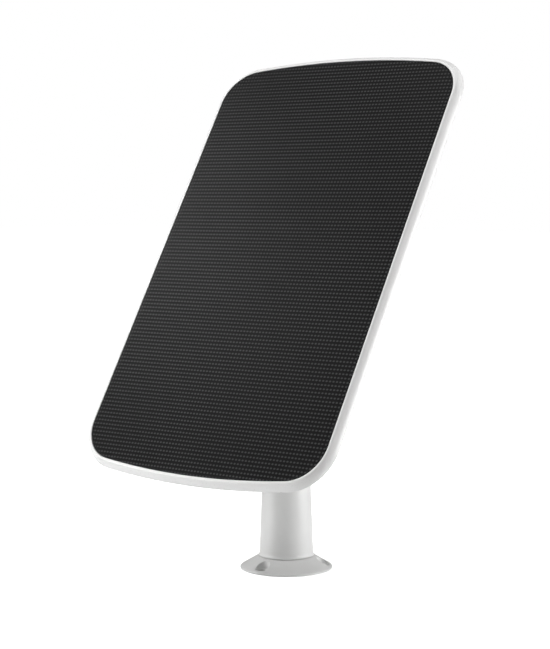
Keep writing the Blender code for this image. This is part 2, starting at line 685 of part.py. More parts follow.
def ball_group(panel_axis):
    neck_angle = asin(NECK_RADIUS / BALL_RADIUS)
    arc = seat_arc(neck_angle, pi, 12, BALL_RADIUS)
    thread_top = INSERT_TOP - GAP
    turned("ball_stud", [
        (0, thread_top),
        (THREAD_RADIUS - END_BREAK, thread_top),
        (THREAD_RADIUS, thread_top - END_BREAK),
        (THREAD_RADIUS, SHOULDER_TOP),
        (SHOULDER_RADIUS, SHOULDER_TOP),
        (SHOULDER_RADIUS, SHOULDER_REACH + SHOULDER_BREAK),
        (SHOULDER_RADIUS - SHOULDER_BREAK, SHOULDER_REACH),
        (NECK_RADIUS, SHOULDER_REACH),
        *arc[:-1],
        (0, -BALL_RADIUS),
    ], STEEL, steps=28, parent=panel_axis)
    bore = THREAD_RADIUS + GAP
    grip = lobed(JAM_WHEEL_RADIUS, JAM_WHEEL_LOBES, JAM_WHEEL_LOBE_DEPTH, 4)
    plate("jam_wheel", [grip, circle(bore, 20)], JAM_BOTTOM, JAM_TOP, BLACK_PLASTIC, parent=panel_axis)
    turned("grip_washer", tube_profile(GRIP_WASHER_RADIUS, bore, GRIP_BOTTOM,
                                       GRIP_BOTTOM + GRIP_WASHER_THICKNESS), RUBBER, ring=True,
           parent=panel_axis)


# ---- panel ----

def cover_screw_places():
    """Screw axes: one in each corner and one in the middle of each long side."""
    reach = (FACE_CORNER_RADIUS - SCREW_INSET) * sqrt(0.5)
    corner = (CORNER_X + reach, CORNER_Y + reach)
    side = (FACE_HALF_WIDTH - SCREW_INSET, 0)
    return [
        (sign_x * x, sign_y * y + PANEL_RISE)
        for (x, y), signs in ((corner, (1, -1)), (side, (1,)))
        for sign_y in signs
        for sign_x in (1, -1)
    ]


def frame_section():
    """Closed section of the frame, as (offset, height) from the lip round the outside."""
    bend = (LIP_WIDTH + BEND_WIDTH, BEND_DEPTH)
    outer = []
    for i in range(FRAME_EDGE_STEPS + 1):
        t = i / FRAME_EDGE_STEPS
        width = LIP_WIDTH * (1 - t)**2 + 2 * bend[0] * t * (1 - t) + FRAME_BULGE * t**2
        depth = 2 * bend[1] * t * (1 - t) + BULGE_DEPTH * t**2
        outer.append((width, PANEL_FRONT - depth))
    return [
        (0, PANEL_FRONT),
        *outer,
        (FRAME_BULGE - FRAME_BACK_DRAW, FRAME_BACK),
        (-LEDGE_WIDTH, FRAME_BACK),
        (-LEDGE_WIDTH, LEDGE_FRONT),
        (0, LEDGE_FRONT),
    ]


def front_frame(panel_axis):
    frame = lofted("front_frame", frame_section(), WHITE_PLASTIC, ring=True, parent=panel_axis)
    for number, (x, y) in enumerate(cover_screw_places(), 1):
        axis = {"parent": panel_axis, "location": (x, y, 0)}
        fuse(frame, turned(f"frame_boss_{number}", rod_profile(SCREW_BOSS_RADIUS, BOSS_END,
                                                               LEDGE_FRONT - PILOT_COVER),
                           None, steps=16, **axis))
        cut(frame, turned(f"pilot_hole_{number}", rod_profile(SCREW_RADIUS + GAP, BOSS_END - OVERRUN,
                                                              PILOT_TOP), None, steps=12, **axis))


def rear_cover(panel_axis):
    rim_top = FRAME_BACK - GAP
    rim = FRAME_BULGE - COVER_RIM_DRAW
    seal_floor = SEAL_BACK - GAP
    depth = rim_top - PANEL_BACK
    outer = []
    for share, inset in COVER_SIDE:
        outer.append((rim - (rim + COVER_FLAT_INSET) * inset, rim_top - depth * share))
    lip_inner = outer[0][0] - COVER_LIP - COVER_INNER_LEDGE
    wall_inner = lip_inner - SEAL_WIDTH - 2 * GAP
    inner = [
        (-COVER_FLAT_INSET - COVER_FILLET_IN, COVER_FLOOR),
        (-COVER_FLAT_INSET + COVER_FILLET_OUT, COVER_FLOOR + COVER_FILLET_RISE),
        (wall_inner - COVER_WALL_LEAN, seal_floor - COVER_FILLET_DROP),
        (wall_inner, seal_floor),
        (lip_inner, seal_floor),
        (lip_inner, rim_top),
    ]
    cover = lofted("rear_cover", list(reversed(outer)) + list(reversed(inner)), WHITE_PLASTIC,
                   parent=panel_axis)

    fuse(cover, turned("mount_pad", rod_profile(MOUNT_PAD_RADIUS, PAD_FACE, COVER_FLOOR - END_BREAK),
                       None, steps=32, parent=panel_axis))
    boss = INSERT_RADIUS + GAP + INSERT_BOSS_WALL
    fuse(cover, turned("insert_boss", rod_profile(boss, COVER_FLOOR - EMBED, INSERT_TOP), None,
                       steps=24, parent=panel_axis))
    cut(cover, turned("insert_hole", rod_profile(INSERT_RADIUS + GAP, PAD_FACE - OVERRUN,
                                                 INSERT_TOP + OVERRUN), None, steps=24,
                      parent=panel_axis))
    for number, (x, y) in enumerate(cover_screw_places(), 1):
        axis = {"parent": panel_axis, "location": (x, y, 0)}
        fuse(cover, turned(f"screw_seat_{number}", rod_profile(SCREW_SEAT_RADIUS, COVER_FLOOR - EMBED,
                                                               SEAT_TOP), None, steps=16, **axis))
        cut(cover, turned(f"screw_recess_{number}", [
            (0, SEAT_TOP + OVERRUN),
            (SCREW_RADIUS + GAP, SEAT_TOP + OVERRUN),
            (SCREW_RADIUS + GAP, SEAT_FLOOR),
            (SCREW_HEAD_RADIUS + GAP, SEAT_FLOOR),
            (SCREW_HEAD_RADIUS + GAP, PANEL_BACK - OVERRUN),
            (0, PANEL_BACK - OVERRUN),
        ], None, steps=16, **axis))
    for number, (x, y) in enumerate(regulator_corners(), 1):
        fuse(cover, turned(f"regulator_stand_{number}", rod_profile(STAND_RADIUS, COVER_FLOOR - EMBED,
                                                                    REGULATOR_BACK - GAP),
                           None, steps=12, parent=panel_axis, location=(x, y, 0)))
    cut(cover, turned("gland_hole", rod_profile(GLAND_RADIUS + GAP, PANEL_BACK - OVERRUN,
                                                COVER_FLOOR + OVERRUN), None, steps=20,
                      parent=panel_axis, location=(0, -GLAND_DROP, 0)))

    seal_outer = lip_inner - GAP
    lofted("cover_seal", [
        (seal_outer, FRAME_BACK - GAP),
        (seal_outer, SEAL_BACK),
        (seal_outer - SEAL_WIDTH, SEAL_BACK),
        (seal_outer - SEAL_WIDTH, FRAME_BACK - GAP),
    ], RUBBER, ring=True, parent=panel_axis)


def cover_screws(panel_axis):
    head_top = SEAT_FLOOR - GAP
    head_bottom = head_top - SCREW_HEAD_HEIGHT
    for number, (x, y) in enumerate(cover_screw_places(), 1):
        turned(f"cover_screw_{number}", [
            (0, PILOT_TOP - GAP),
            (SCREW_RADIUS, PILOT_TOP - GAP - SCREW_RADIUS),
            (SCREW_RADIUS, head_top),
            (SCREW_HEAD_RADIUS, head_top),
            (SCREW_HEAD_RADIUS, head_bottom + SCREW_HEAD_BREAK),
            (SCREW_HEAD_RADIUS - SCREW_HEAD_BREAK, head_bottom),
            (SCREW_DRIVE_RADIUS, head_bottom),
            (SCREW_DRIVE_FLOOR_RADIUS, head_bottom + SCREW_DRIVE_DEPTH),
            (0, head_bottom + SCREW_DRIVE_DEPTH),
        ], STEEL, steps=14, parent=panel_axis, location=(x, y, 0))


def laminate(panel_axis):
    plate("front_film", [panel_outline(-GAP)], FILM_BACK, PANEL_FRONT, DARK_FILM, parent=panel_axis)
    plate("cell_board", [panel_outline(-GAP)], BOARD_BACK, BOARD_FRONT, CIRCUIT_BOARD,
          parent=panel_axis)
    gasket_top = BOARD_BACK - GAP
    lofted("board_gasket", [
        (-2 * GAP, gasket_top),
        (-2 * GAP, gasket_top - GASKET_THICKNESS),
        (GAP - LEDGE_WIDTH, gasket_top - GASKET_THICKNESS),
        (GAP - LEDGE_WIDTH, gasket_top),
    ], RUBBER, ring=True, parent=panel_axis)

    left = CELL_SIDE_MARGIN - FACE_HALF_WIDTH
    low = PANEL_RISE - FACE_HALF_HEIGHT + CELL_END_MARGIN
    width = (-2 * left - CELL_SPACING * (CELL_COLUMNS - 1)) / CELL_COLUMNS
    tall = 2 * (FACE_HALF_HEIGHT - CELL_END_MARGIN)
    height = (tall - CELL_SPACING * (CELL_ROWS - 1)) / CELL_ROWS
    number = 0
    for row in range(CELL_ROWS):
        for column in range(CELL_COLUMNS):
            number += 1
            x = left + column * (width + CELL_SPACING)
            y = low + row * (height + CELL_SPACING)
            box(f"solar_cell_{number:02d}", (x, y, CELL_BACK), (x + width, y + height, CELL_FRONT),
                CELL_SILICON, parent=panel_axis)

    ribbon_back = BOARD_FRONT + GAP
    ribbon_front = ribbon_back + RIBBON_THICKNESS
    top = low + tall + CELL_SPACING
    box("ribbon_bridge", (left + width / 2, top, ribbon_back),
        (-left - width / 2, top + RIBBON_WIDTH, ribbon_front), TINNED, parent=panel_axis)
    for name, side in (("ribbon_positive", 1), ("ribbon_negative", -1)):
        ends = sorted((side * LEAD_SPREAD / 2, side * (-left - width / 2)))
        box(name, (ends[0], low - CELL_SPACING - RIBBON_WIDTH, ribbon_back),
            (ends[1], low - CELL_SPACING, ribbon_front), TINNED, parent=panel_axis)


def regulator_corners():
    reach_x = REGULATOR_WIDTH / 2 - STAND_INSET
    reach_y = REGULATOR_HEIGHT / 2 - STAND_INSET
    return [(sx * reach_x, sy * reach_y - REGULATOR_DROP) for sx in (1, -1) for sy in (1, -1)]


def electronics(panel_axis):
    centre = -REGULATOR_DROP
    half_x, half_y = REGULATOR_WIDTH / 2, REGULATOR_HEIGHT / 2
    box("regulator_board", (-half_x, centre - half_y, REGULATOR_BACK),
        (half_x, centre + half_y, REGULATOR_FRONT), CIRCUIT_BOARD, parent=panel_axis)
    seat = REGULATOR_FRONT + GAP
    for name, (x, y), (size_x, size_y, size_z) in (
        ("regulator_inductor", INDUCTOR_PLACE, INDUCTOR_SIZE),
        ("regulator_chip", CHIP_PLACE, CHIP_SIZE),
        ("regulator_terminal", TERMINAL_PLACE, TERMINAL_SIZE),
    ):
        box(name, (x - size_x / 2, centre + y - size_y / 2, seat),
            (x + size_x / 2, centre + y + size_y / 2, seat + size_z), COMPONENT, parent=panel_axis)
    turned("regulator_capacitor", rod_profile(CAPACITOR_RADIUS, seat, seat + CAPACITOR_HEIGHT),
           COMPONENT, steps=16, parent=panel_axis,
           location=(CAPACITOR_PLACE[0], centre + CAPACITOR_PLACE[1], 0))
    start_y = centre + half_y - LEAD_START_INSET
    low = seat + LEAD_RADIUS
    high = BOARD_BACK - GAP - LEAD_RADIUS
    for name, side, finish in (("lead_positive", 1, RED_WIRE), ("lead_negative", -1, BLACK_WIRE)):
        x = side * LEAD_SPREAD / 2
        points = [(x, start_y, seat)]
        for i in range(LEAD_STEPS + 1):
            share = i / LEAD_STEPS
            ease = share * share * (3 - 2 * share)
            points.append((x, start_y + LEAD_RUN * ease, low + (high - low) * share))
        points.append((x, start_y + LEAD_RUN, BOARD_BACK - GAP))
        cable(name, points, LEAD_RADIUS, finish, parent=panel_axis)


def cable_gland(panel_axis):
    lip = GLAND_RADIUS + GLAND_LIP
    outside = PANEL_BACK - GAP
    inside = COVER_FLOOR + GAP
    turned("cable_gland", [
        (GLAND_BORE_RADIUS, inside + GLAND_LIP_THICKNESS),
        (lip - EDGE_BREAK, inside + GLAND_LIP_THICKNESS),
        (lip - GLAND_INNER_DRAW, inside),
        (GLAND_RADIUS, inside),
        (GLAND_RADIUS, outside),
        (lip, outside),
        (lip - END_BREAK, outside - GLAND_LIP_THICKNESS),
        (GLAND_BORE_RADIUS, outside - GLAND_LIP_THICKNESS),
    ], RUBBER, steps=24, ring=True, parent=panel_axis, location=(0, -GLAND_DROP, 0))


def threaded_insert(panel_axis):
    turned("threaded_insert", tube_profile(INSERT_RADIUS, THREAD_RADIUS + GAP, INSERT_BOTTOM, INSERT_TOP,
                                           INSERT_BREAK), BRASS, ring=True, parent=panel_axis)


head = empty("ball_axis", (0, 0, BALL_Z))
panel_axis = empty("panel_axis", (0, 0, BALL_Z), (pi / 2 - LEAN_BACK, 0, 0))

base_group()
post_group()
ball_housing(head)
housing_plug(head)
lock_group(head)
ball_group(panel_axis)
front_frame(panel_axis)
rear_cover(panel_axis)
cover_screws(panel_axis)
laminate(panel_axis)
electronics(panel_axis)
cable_gland(panel_axis)
threaded_insert(panel_axis)
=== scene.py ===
import json
from math import acos, asin, cos, floor, pi, radians, sin, sqrt

import bmesh
import bpy
from mathutils import Matrix, Vector


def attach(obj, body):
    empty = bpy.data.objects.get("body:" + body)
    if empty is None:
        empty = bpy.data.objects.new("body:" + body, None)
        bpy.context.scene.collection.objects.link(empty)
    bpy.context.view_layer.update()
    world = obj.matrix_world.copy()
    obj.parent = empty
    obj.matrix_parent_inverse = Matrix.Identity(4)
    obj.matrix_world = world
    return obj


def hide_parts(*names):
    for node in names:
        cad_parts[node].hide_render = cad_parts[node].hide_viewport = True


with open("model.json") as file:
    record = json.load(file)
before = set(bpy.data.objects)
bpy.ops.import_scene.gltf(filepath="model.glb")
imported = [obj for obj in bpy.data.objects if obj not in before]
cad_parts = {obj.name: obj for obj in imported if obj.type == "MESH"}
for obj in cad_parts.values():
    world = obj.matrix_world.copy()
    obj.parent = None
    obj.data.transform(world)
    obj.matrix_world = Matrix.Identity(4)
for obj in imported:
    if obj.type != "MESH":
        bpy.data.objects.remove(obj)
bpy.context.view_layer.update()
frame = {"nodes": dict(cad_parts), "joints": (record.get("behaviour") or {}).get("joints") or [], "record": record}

print("frame loaded")

mm = 0.001
hair = 0.00001  # keeps cutters off coplanar faces
joints = {joint["name"]: joint for joint in frame["joints"]}


# where things are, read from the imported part

ballCentre = Vector(joints["ball_tilt"]["pos_m"])
panelNormal = Vector(joints["panel_turn"]["axis"]).normalized()
panelUp = panelNormal.cross(Vector((1, 0, 0)))
postSpace = Matrix.Identity(4)
panelSpace = Matrix.Translation(ballCentre) @ Matrix((
    (1, panelUp.x, panelNormal.x),
    (0, panelUp.y, panelNormal.y),
    (0, panelUp.z, panelNormal.z),
)).to_4x4()
headSpace = Matrix.Translation(ballCentre)
lockAxis = Matrix.Rotation(-pi / 2, 4, "X")  # its z runs back along the lock screw
lockSpace = Matrix.Translation((0, 0, joints["lock_knob_turn"]["pos_m"][2])) @ lockAxis


def extent(node, space):
    # lowest and highest corner of a node, measured in one of the spaces above
    back = space.inverted()
    points = [back @ vertex.co for vertex in frame["nodes"][node].data.vertices]
    return [Vector([pick(p[i] for p in points) for i in range(3)]) for pick in (min, max)]


# meshes

def meshFrom(name, points, faces, smoothAngle=32):
    mesh = bpy.data.meshes.new(name)
    mesh.from_pydata([tuple(p) for p in points], [], faces)
    shape = bmesh.new()
    shape.from_mesh(mesh)
    bmesh.ops.remove_doubles(shape, verts=shape.verts, dist=hair / 20)
    bmesh.ops.recalc_face_normals(shape, faces=shape.faces)
    shape.to_mesh(mesh)
    shape.free()
    mesh.shade_smooth()
    mesh.set_sharp_from_angle(angle=radians(smoothAngle))
    return mesh


def turned(name, profile, steps=96, smoothAngle=32):
    # a closed (radius, height) outline turned about z; points on the axis become poles
    points = []
    for i in range(steps):
        angle = 2 * pi * i / steps
        points += [(r * cos(angle), r * sin(angle), z) for r, z in profile]
    count = len(profile)
    faces = []
    for i in range(steps):
        here, there = i * count, (i + 1) % steps * count
        for k in range(count):
            after = (k + 1) % count
            if profile[k][0] < hair and profile[after][0] < hair:
                continue
            faces.append((here + k, here + after, there + after, there + k))
    return meshFrom(name, points, faces, smoothAngle)


def softened(points, radii, steps=5, closed=True):
    # rounds the corners of an outline; a corner with radius 0 stays sharp
    result = []
    count = len(points)
    for i, corner in enumerate(points):
        radius = radii[i] if isinstance(radii, (list, tuple)) else radii
        isEnd = not closed and i in (0, count - 1)
        if radius <= 0 or isEnd or corner[0] < hair:
            result.append(tuple(corner))
            continue
        here = Vector(corner)
        before = Vector(points[i - 1]) - here
        after = Vector(points[(i + 1) % count]) - here
        half = before.angle(after) / 2
        reach = min(radius / max(sin(half) / max(cos(half), 0.05), 0.05), before.length * 0.48,
                    after.length * 0.48)
        start = here + before.normalized() * reach
        end = here + after.normalized() * reach
        for k in range(steps + 1):
            t = k / steps
            result.append(tuple(start * (1 - t)**2 + here * 2 * t * (1 - t) + end * t**2))
    return result


def ringProfile(outer, inner, bottom, top, soft):
    return softened([(inner, top), (outer, top), (outer, bottom), (inner, bottom)], soft)


def rodProfile(radius, bottom, top, soft=0.0):
    return softened([(0, top), (radius, top), (radius, bottom), (0, bottom)], [0, soft, soft, 0])


def extruded(name, outlines, bottom, top, edge=0.0, smoothAngle=32):
    # a flat outline with holes given height, its outer edges eased
    shape = bmesh.new()
    levels = ((bottom, edge), (bottom + edge, 0), (top - edge, 0), (top, edge)) if edge else (
        (bottom, 0), (top, 0))
    caps = {bottom: [], top: []}
    for outline in outlines:
        area = sum(a[0] * b[1] - b[0] * a[1] for a, b in zip(outline, outline[1:] + outline[:1]))
        inward = -1 if (area > 0) == (outline is outlines[0]) else 1
        rings = []
        for height, inset in levels:
            ring = []
            for i, point in enumerate(outline):
                along = Vector(outline[(i + 1) % len(outline)]) - Vector(outline[i - 1])
                side = Vector((along.y, -along.x)).normalized() * inset * inward
                ring.append(shape.verts.new((point[0] + side.x, point[1] + side.y, height)))
            rings.append(ring)
        for low, high in zip(rings, rings[1:]):
            for i in range(len(low)):
                shape.faces.new((low[i - 1], low[i], high[i], high[i - 1]))
        for ring, height in ((rings[0], bottom), (rings[-1], top)):
            caps[height] += [shape.edges.get((ring[i - 1], ring[i])) for i in range(len(ring))]
    for edges in caps.values():
        bmesh.ops.triangle_fill(shape, use_beauty=True, use_dissolve=False, edges=edges)
    bmesh.ops.recalc_face_normals(shape, faces=shape.faces)
    mesh = bpy.data.meshes.new(name)
    shape.to_mesh(mesh)
    shape.free()
    mesh.shade_smooth()
    mesh.set_sharp_from_angle(angle=radians(smoothAngle))
    return mesh


def box(name, low, high):
    corners = [(x, y, z) for z in (low[2], high[2]) for y in (low[1], high[1])
               for x in (low[0], high[0])]
    faces = ((0, 2, 3, 1), (4, 5, 7, 6), (0, 1, 5, 4), (2, 6, 7, 3), (0, 4, 6, 2), (1, 3, 7, 5))
    return meshFrom(name, corners, faces)


def circle(radius, steps=64):
    return [(radius * cos(2 * pi * i / steps), radius * sin(2 * pi * i / steps)) for i in range(steps)]


def lobed(radius, lobes, depth, stepsPerLobe=12):
    points = []
    for i in range(lobes * stepsPerLobe):
        angle = 2 * pi * i / (lobes * stepsPerLobe)
        reach = radius - depth * ((1 - cos(lobes * angle)) / 2)**1.5
        points.append((reach * cos(angle), reach * sin(angle)))
    return points


def stand(name, mesh, space):
    made = bpy.data.objects.new(name, mesh)
    made.matrix_world = space
    bpy.context.scene.collection.objects.link(made)
    return made


def carve(piece, tool, operation="DIFFERENCE"):
    # cuts or joins tool into piece for good, and takes the tool away
    step = piece.modifiers.new("carve", "BOOLEAN")
    step.operation = operation
    step.solver = "EXACT"
    step.object = tool
    bpy.context.view_layer.update()
    graph = bpy.context.evaluated_depsgraph_get()
    mesh = bpy.data.meshes.new_from_object(piece.evaluated_get(graph))
    piece.modifiers.clear()
    if not mesh.polygons:
        raise RuntimeError(f"cutting {tool.name} left nothing of {piece.name}")
    piece.data = mesh
    bpy.data.objects.remove(tool)
    mesh.shade_smooth()
    mesh.set_sharp_from_angle(angle=radians(32))
    return piece


def ease(piece, width, angle=40):
    # a fine bevel along the sharp edges that cutting left
    step = piece.modifiers.new("ease", "BEVEL")
    step.width = width
    step.segments = 2
    step.limit_method = "ANGLE"
    step.angle_limit = radians(angle)
    step.harden_normals = True
    return piece


def finish(piece, look, body, slot, *nodes):
    piece.data.materials.clear()
    piece.data.materials.append(look)
    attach(piece, body)
    if nodes:
        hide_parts(*nodes)
    return piece


# shader maths

class Wire:
    # one socket of a material's nodes, which numbers and other sockets can be worked with
    def __init__(self, finish, socket):
        self.finish = finish
        self.socket = socket

    def maths(self, operation, *others):
        values = dict(enumerate((self, *others)))
        return self.finish.node("ShaderNodeMath", {"operation": operation}, values)

    def __add__(self, other):
        return self.maths("ADD", other)

    __radd__ = __add__

    def __mul__(self, other):
        return self.maths("MULTIPLY", other)

    __rmul__ = __mul__

    def __sub__(self, other):
        return self.maths("SUBTRACT", other)

    def __rsub__(self, other):
        return self.finish.node("ShaderNodeMath", {"operation": "SUBTRACT"}, {0: other, 1: self})

    def __truediv__(self, other):
        return self.maths("DIVIDE", other)


class Finish:
    def __init__(self, name, **values):
        self.material = bpy.data.materials.new(name)
        self.material.use_nodes = True
        self.tree = self.material.node_tree
        self.shader = self.tree.nodes["Principled BSDF"]
        for key, value in values.items():
            self.feed(self.shader.inputs[key], value)

    def feed(self, socket, value):
        if isinstance(value, Wire):
            self.tree.links.new(value.socket, socket)
        elif isinstance(value, tuple) and len(value) == 3 and socket.type == "RGBA":
            socket.default_value = (*value, 1)
        else:
            socket.default_value = value

    def node(self, kind, settings=None, values=None, output=0):
        made = self.tree.nodes.new(kind)
        for key, value in (settings or {}).items():
            setattr(made, key, value)
        for key, value in (values or {}).items():
            self.feed(made.inputs[key], value)
        return Wire(self, made.outputs[output])

    def place(self):
        return self.node("ShaderNodeTexCoord", output=3)

    def axesOf(self, place):
        made = self.tree.nodes.new("ShaderNodeSeparateXYZ")
        self.feed(made.inputs[0], place)
        return [Wire(self, socket) for socket in made.outputs]

    def noise(self, size, detail=3.0, roughness=0.5):
        # a grain whose features are about size across, from 0 to 1
        return self.node("ShaderNodeTexNoise", {"noise_dimensions": "3D"}, {
            "Vector": self.place(), "Scale": 1 / size, "Detail": detail, "Roughness": roughness})

    def blend(self, amount, first, second):
        return self.node("ShaderNodeMix", {"data_type": "RGBA"}, {0: amount, 6: first, 7: second}, 2)

    def rampOf(self, value, low, high, start=0.0, end=1.0):
        # value between low and high runs from start to end
        return self.node("ShaderNodeMapRange", {"clamp": True}, {
            "Value": value, "From Min": low, "From Max": high, "To Min": start, "To Max": end})

    def bump(self, height, distance, strength=1.0):
        return self.node("ShaderNodeBump", None, {
            "Height": height, "Distance": distance, "Strength": strength})

    def set(self, **values):
        for key, value in values.items():
            self.feed(self.shader.inputs[key.replace("_", " ")], value)
        return self.material


print("tools ready")

# finishes

mouldedLook = {
    "tone": (0.80, 0.80, 0.795), "shade": (0.765, 0.765, 0.757), "roughness": 0.42,
    "grain": 0.35 * mm, "grainDepth": 0.012 * mm,
}
frameLook = {
    "tone": (0.86, 0.86, 0.855), "shade": (0.83, 0.83, 0.822), "roughness": 0.3,
    "grain": 0.9 * mm, "grainDepth": 0.004 * mm,
}
# film tones: light and worn are the film's own dark grey, varied at random; dark is painted shade for the hollows
# between the bumps
filmLook = {
    "pitchAcross": 2.11 * mm, "pitchUp": 2.22 * mm, "light": (0.06, 0.0603, 0.061),
    "worn": (0.042, 0.0423, 0.0428), "dark": (0.0015, 0.0016, 0.0018), "roughness": 0.4, "gloss": 0.1,
}


def mouldedPlastic(name, look):
    made = Finish(name)
    cloud = made.noise(14 * mm, 2.0)
    speck = made.noise(look["grain"], 2.0)
    tone = made.blend(made.rampOf(cloud + speck * 0.3, 0.35, 0.95), look["tone"], look["shade"])
    rough = made.rampOf(speck, 0.3, 0.7, look["roughness"] - 0.04, look["roughness"] + 0.05)
    return made.set(Base_Color=tone, Roughness=rough, Normal=made.bump(speck, look["grainDepth"]))


def dottedFilm():
    # rows of small pale bumps on a dark ground, on the panel's own axes; the pale bumps carry the film's own dark
    # grey, the near-black ground between them is painted shade standing in for the shaded faces of the embossed
    # relief
    made = Finish("dottedFilm")
    made.shader.inputs["Specular IOR Level"].default_value = filmLook["gloss"]
    across, up = made.axesOf(made.place())[:2]
    offX = (across / filmLook["pitchAcross"]).maths("FRACT") - 0.5
    offY = (up / filmLook["pitchUp"]).maths("FRACT") - 0.5
    reach = (offX * offX * 0.8 + offY * offY * 1.7).maths("SQRT")
    bump = made.rampOf(reach, 0.14, 0.38, 1.0, 0.0)
    cloud = made.noise(60 * mm, 1.0)
    grain = made.noise(0.5 * mm, 2.0)
    pale = made.blend(made.rampOf(cloud + grain * 0.25, 0.3, 0.95), filmLook["light"], filmLook["worn"])
    # painted shade: away from each bump's centre the colour falls to near black
    tone = made.blend(bump, filmLook["dark"], pale)
    rough = made.rampOf(grain, 0.3, 0.8, filmLook["roughness"] - 0.03, filmLook["roughness"] + 0.08)
    return made.set(Base_Color=tone, Roughness=rough, Normal=made.bump(grain, 0.006 * mm))


def metal(name, tone, shade, roughness, streak=(1, 1, 12)):
    made = Finish(name, Metallic=1.0)
    stretched = made.node("ShaderNodeVectorMath", {"operation": "MULTIPLY"}, {0: made.place(), 1: streak})
    lines = made.node("ShaderNodeTexNoise", None, {"Vector": stretched, "Scale": 900, "Detail": 2.0})
    cloud = made.noise(6 * mm, 2.0)
    colour = made.blend(made.rampOf(cloud, 0.3, 0.7), tone, shade)
    rough = made.rampOf(lines, 0.3, 0.7, roughness - 0.06, roughness + 0.08)
    return made.set(Base_Color=colour, Roughness=rough, Normal=made.bump(lines, 0.004 * mm))


def rubberLike(name, tone, shade, roughness, grain=0.4 * mm, depth=0.02 * mm):
    made = Finish(name)
    speck = made.noise(grain, 3.0)
    cloud = made.noise(9 * mm, 2.0)
    colour = made.blend(made.rampOf(cloud + speck * 0.4, 0.4, 1.0), tone, shade)
    rough = made.rampOf(speck, 0.3, 0.7, roughness - 0.06, roughness + 0.06)
    return made.set(Base_Color=colour, Roughness=rough, Normal=made.bump(speck, depth))


def boardLook():
    # green mask with a faint mottle
    return rubberLike("boardMask", (0.02, 0.13, 0.055), (0.035, 0.20, 0.08), 0.4, 1.6 * mm, 0.03 * mm)


def cellLook():
    # dark silicon crossed by fine pale fingers
    made = Finish("cellSilicon")
    across = made.axesOf(made.place())[0]
    lines = (across / (1.5 * mm)).maths("FRACT")
    finger = made.rampOf(lines, 0.08, 0.1, 1.0, 0.0)
    cloud = made.noise(7 * mm, 4.0)
    ground = made.blend(made.rampOf(cloud, 0.3, 0.7), (0.008, 0.012, 0.035), (0.015, 0.02, 0.05))
    return made.set(Base_Color=made.blend(finger, ground, (0.4, 0.4, 0.42)), Roughness=0.3)


looks = {
    "white_plastic": mouldedPlastic("mouldedWhite", mouldedLook),
    "frame_plastic": mouldedPlastic("frameWhite", frameLook),
    "dark_film": dottedFilm(),
    "cell_silicon": cellLook(),
    "circuit_board": boardLook(),
    "tinned_copper": metal("tinnedCopper", (0.75, 0.74, 0.72), (0.66, 0.65, 0.63), 0.32),
    "steel": metal("platedSteel", (0.62, 0.62, 0.64), (0.54, 0.54, 0.56), 0.28),
    "brass": metal("turnedBrass", (0.76, 0.58, 0.28), (0.62, 0.46, 0.2), 0.3),
    "rubber": rubberLike("blackRubber", (0.022, 0.022, 0.023), (0.035, 0.035, 0.036), 0.72),
    "foam": rubberLike("sealFoam", (0.03, 0.03, 0.03), (0.05, 0.05, 0.05), 0.85, 0.6 * mm, 0.05 * mm),
    "black_plastic": rubberLike("blackPlastic", (0.02, 0.02, 0.021), (0.03, 0.03, 0.031), 0.45, 0.3 * mm,
                                0.015 * mm),
    "nylon": rubberLike("naturalNylon", (0.76, 0.74, 0.68), (0.70, 0.68, 0.61), 0.5, 0.5 * mm, 0.008 * mm),
    "component": rubberLike("componentBody", (0.03, 0.03, 0.032), (0.045, 0.045, 0.047), 0.55),
    "red_wire": rubberLike("redJacket", (0.5, 0.03, 0.02), (0.4, 0.02, 0.015), 0.45, 0.3 * mm, 0.005 * mm),
    "black_wire": rubberLike("blackJacket", (0.02, 0.02, 0.02), (0.03, 0.03, 0.03), 0.45, 0.3 * mm,
                             0.005 * mm),
}
slotOf = {entry["node"]: entry["material_slot"] for entry in frame["record"]["subparts"]}
for nodeName, node in frame["nodes"].items():
    node.data.materials.clear()
    node.data.materials.append(looks[slotOf[nodeName]])
print("finishes ready")


# panel outline: bowed ends, round corners, straight sides

filmLow, filmHigh = extent("front_film", panelSpace)
frameLow, frameHigh = extent("front_frame", panelSpace)
coverLow, coverHigh = extent("rear_cover", panelSpace)
gap = 0.3 * mm
mountThread = {"radius": 3.17 * mm, "bore": 3.475 * mm, "pitch": 1.27 * mm}
panelShape = {
    "halfWidth": filmHigh.x + gap,
    "halfHeight": (filmHigh.y - filmLow.y) / 2 + gap,
    "middle": (filmHigh.y + filmLow.y) / 2,
    "endBow": 6.42 * mm,
    "cornerRadius": 20.98 * mm,
    "cornerSteps": 20,
    "endSteps": 28,
}
bowRadius = (panelShape["halfWidth"]**2 + panelShape["endBow"]**2) / (2 * panelShape["endBow"])
bowCentre = panelShape["halfHeight"] - bowRadius
cornerX = panelShape["halfWidth"] - panelShape["cornerRadius"]
cornerY = bowCentre + sqrt((bowRadius - panelShape["cornerRadius"])**2 - cornerX**2)


def outlineAt(offset):
    # the dark face's edge moved outward by offset
    turn = acos(cornerX / (bowRadius - panelShape["cornerRadius"]))
    corner = panelShape["cornerRadius"] + offset
    bow = bowRadius + offset
    quarter = []
    for i in range(panelShape["cornerSteps"] + 1):
        angle = turn * i / panelShape["cornerSteps"]
        quarter.append((cornerX + corner * cos(angle), cornerY + corner * sin(angle)))
    end = []
    for i in range(1, panelShape["endSteps"]):
        angle = turn + (pi - 2 * turn) * i / panelShape["endSteps"]
        end.append((bow * cos(angle), bowCentre + bow * sin(angle)))
    upper = quarter + end + [(-x, y) for x, y in reversed(quarter)]
    return [(x, y + panelShape["middle"]) for x, y in upper + [(-x, -y) for x, y in upper]]


def isInside(x, y, offset):
    # whether a point lies inside the outline moved by offset
    x, y = abs(x), abs(y - panelShape["middle"])
    if x > panelShape["halfWidth"] + offset:
        return False
    if x > cornerX and y > cornerY:
        return (x - cornerX)**2 + (y - cornerY)**2 < (panelShape["cornerRadius"] + offset)**2
    return x**2 + (y - bowCentre)**2 < (bowRadius + offset)**2


